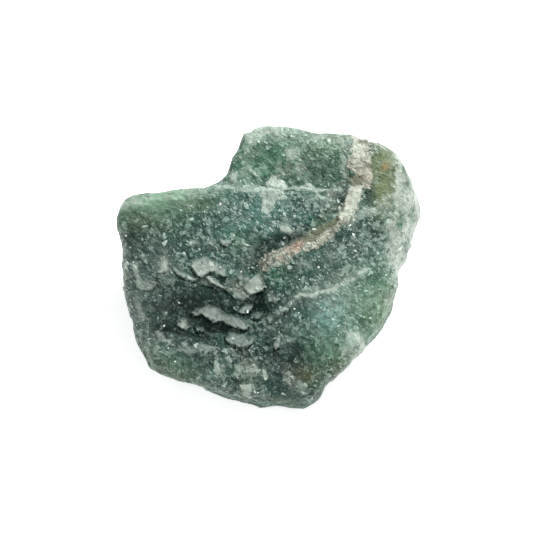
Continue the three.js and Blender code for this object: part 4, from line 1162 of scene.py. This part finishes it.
    # Painted glints: the brighter a grain, the paler it is painted towards GLINT, partly the pale grains' own colour
    # and partly painted highlight; the brightest are painted white.
    sparkling = ramp(given.outputs["Lightness"], 0.5, 1.0)
    bright = blend_colours(tree, sparkling, flake_colour, GLINT)
    sparkling = math_node(tree, "MULTIPLY", math_node(tree, "MULTIPLY", sparkling, quiet), dimmed)
    final = blend_colours(tree, sparkling, colour, bright)
    final = blend_colours(tree, ramp(given.outputs["Lightness"], 0.94, 0.99), final, GLINT_WHITE)
    speck = math_node(tree, "GREATER_THAN", small[1], 0.95)

    pits = add_node(tree, "ShaderNodeMath", {0: small_distance, 1: -0.8, 2: fine}, operation="MULTIPLY_ADD")
    raised = add_node(tree, "ShaderNodeMath", {0: flakes, 1: 0.5, 2: pits.outputs[0]}, operation="MULTIPLY_ADD")
    height = math_node(tree, "MULTIPLY", raised.outputs[0], quiet)
    tree.links.new(final, result.inputs["Color"])
    tree.links.new(height, result.inputs["Height"])
    tree.links.new(speck, result.inputs["Speck"])
    return tree


stone_colour = stone_colour_group()
print("nodes in the stone colour group:", len(stone_colour.nodes))

# %% [markdown]
# ## The materials
# The stone scatters a little light below its surface, which softens the shadows in the ledges. The
# grains are glassier than the mass between them, so they have a material of their own with the
# same colour group.

# %% Materials
def stone_material(name, grain_size, bump, rough, scatter_weight, gloss_level):
    """A principled surface with the stone's colour, broken gloss, and bump from the grain."""
    material = bpy.data.materials.new(name)
    material.use_nodes = True
    tree = material.node_tree
    surface_shader = tree.nodes["Principled BSDF"]
    group = tree.nodes.new("ShaderNodeGroup")
    group.node_tree = stone_colour
    group.inputs["Grain size"].default_value = grain_size
    read = add_node(tree, "ShaderNodeAttribute", attribute_name="shade_seam_spark")
    spark = add_node(tree, "ShaderNodeSeparateColor", {0: read.outputs["Color"]}).outputs[2]
    tree.links.new(spark, group.inputs["Lightness"])
    tree.links.new(group.outputs["Color"], surface_shader.inputs["Base Color"])
    gloss = add_node(tree, "ShaderNodeMapRange", {0: group.outputs["Speck"], 3: rough, 4: rough * 0.45})
    tree.links.new(gloss.outputs[0], surface_shader.inputs["Roughness"])
    relief = add_node(
        tree,
        "ShaderNodeBump",
        {"Strength": bump, "Distance": 0.0003, "Height": group.outputs["Height"]},
    )
    tree.links.new(relief.outputs[0], surface_shader.inputs["Normal"])
    surface_shader.inputs["IOR"].default_value = 1.53
    surface_shader.inputs["Specular IOR Level"].default_value = gloss_level
    surface_shader.inputs["Subsurface Weight"].default_value = scatter_weight
    surface_shader.inputs["Subsurface Radius"].default_value = (0.0007, 0.001, 0.0008)
    surface_shader.inputs["Subsurface Scale"].default_value = 1.0
    return material


stone.data.materials.append(stone_material("rough stone", 2900, 0.7, 0.5, 0.3, 0.24))
grain_finish = stone_material("crystal grains", 2900, 0.15, 0.42, 0.0, 0.35)
for piece in grains:
    piece.data.materials.append(grain_finish)

for piece in (stone, *grains):
    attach(piece, "root")
    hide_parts("rough_stone")

# %% [markdown]
# ## Floor and light
# The stone lies on a plain white table. The light is broad and soft and comes from behind and
# above, so it rakes down the broad face and every ledge casts its small shadow towards the viewer.

# %% Floor and light
FLOOR_SIZE = 3.0
floor_corners = np.array([[-1, -1, 0], [1, -1, 0], [1, 1, 0], [-1, 1, 0]]) * FLOOR_SIZE / 2
floor = quad_mesh("floor", floor_corners, np.array([[0, 1, 2, 3]]))
floor_paint = bpy.data.materials.new("white table")
floor_paint.use_nodes = True
floor_shader = floor_paint.node_tree.nodes["Principled BSDF"]
floor_shader.inputs["Base Color"].default_value = (0.9, 0.9, 0.9, 1)
floor_shader.inputs["Roughness"].default_value = 0.9
floor_shader.inputs["Emission Color"].default_value = (1, 1, 1, 1)
floor_shader.inputs["Emission Strength"].default_value = 0.65
floor.data.materials.append(floor_paint)


def soft_light(name, place, aim, size, power):
    """A square area light at a place, turned to an aim."""
    data = bpy.data.lights.new(name, "AREA")
    data.shape = "SQUARE"
    data.size = size
    data.energy = power
    lamp = bpy.data.objects.new(name, data)
    lamp.location = place
    lamp.rotation_euler = (Vector(aim) - Vector(place)).to_track_quat("-Z", "Y").to_euler()
    bpy.context.scene.collection.objects.link(lamp)
    return lamp


soft_light("key", (0.26, 0.42, 0.72), (0, 0, 0.01), 0.32, 10.4)
soft_light("fill", (0.4, -0.5, 0.7), (0, 0, 0.01), 0.7, 1.2)

world = bpy.data.worlds.new("studio")
world.use_nodes = True
world.node_tree.nodes["Background"].inputs[0].default_value = (1, 1, 1, 1)
world.node_tree.nodes["Background"].inputs[1].default_value = 0.45
bpy.context.scene.world = world
bpy.context.scene.view_settings.view_transform = "Standard"
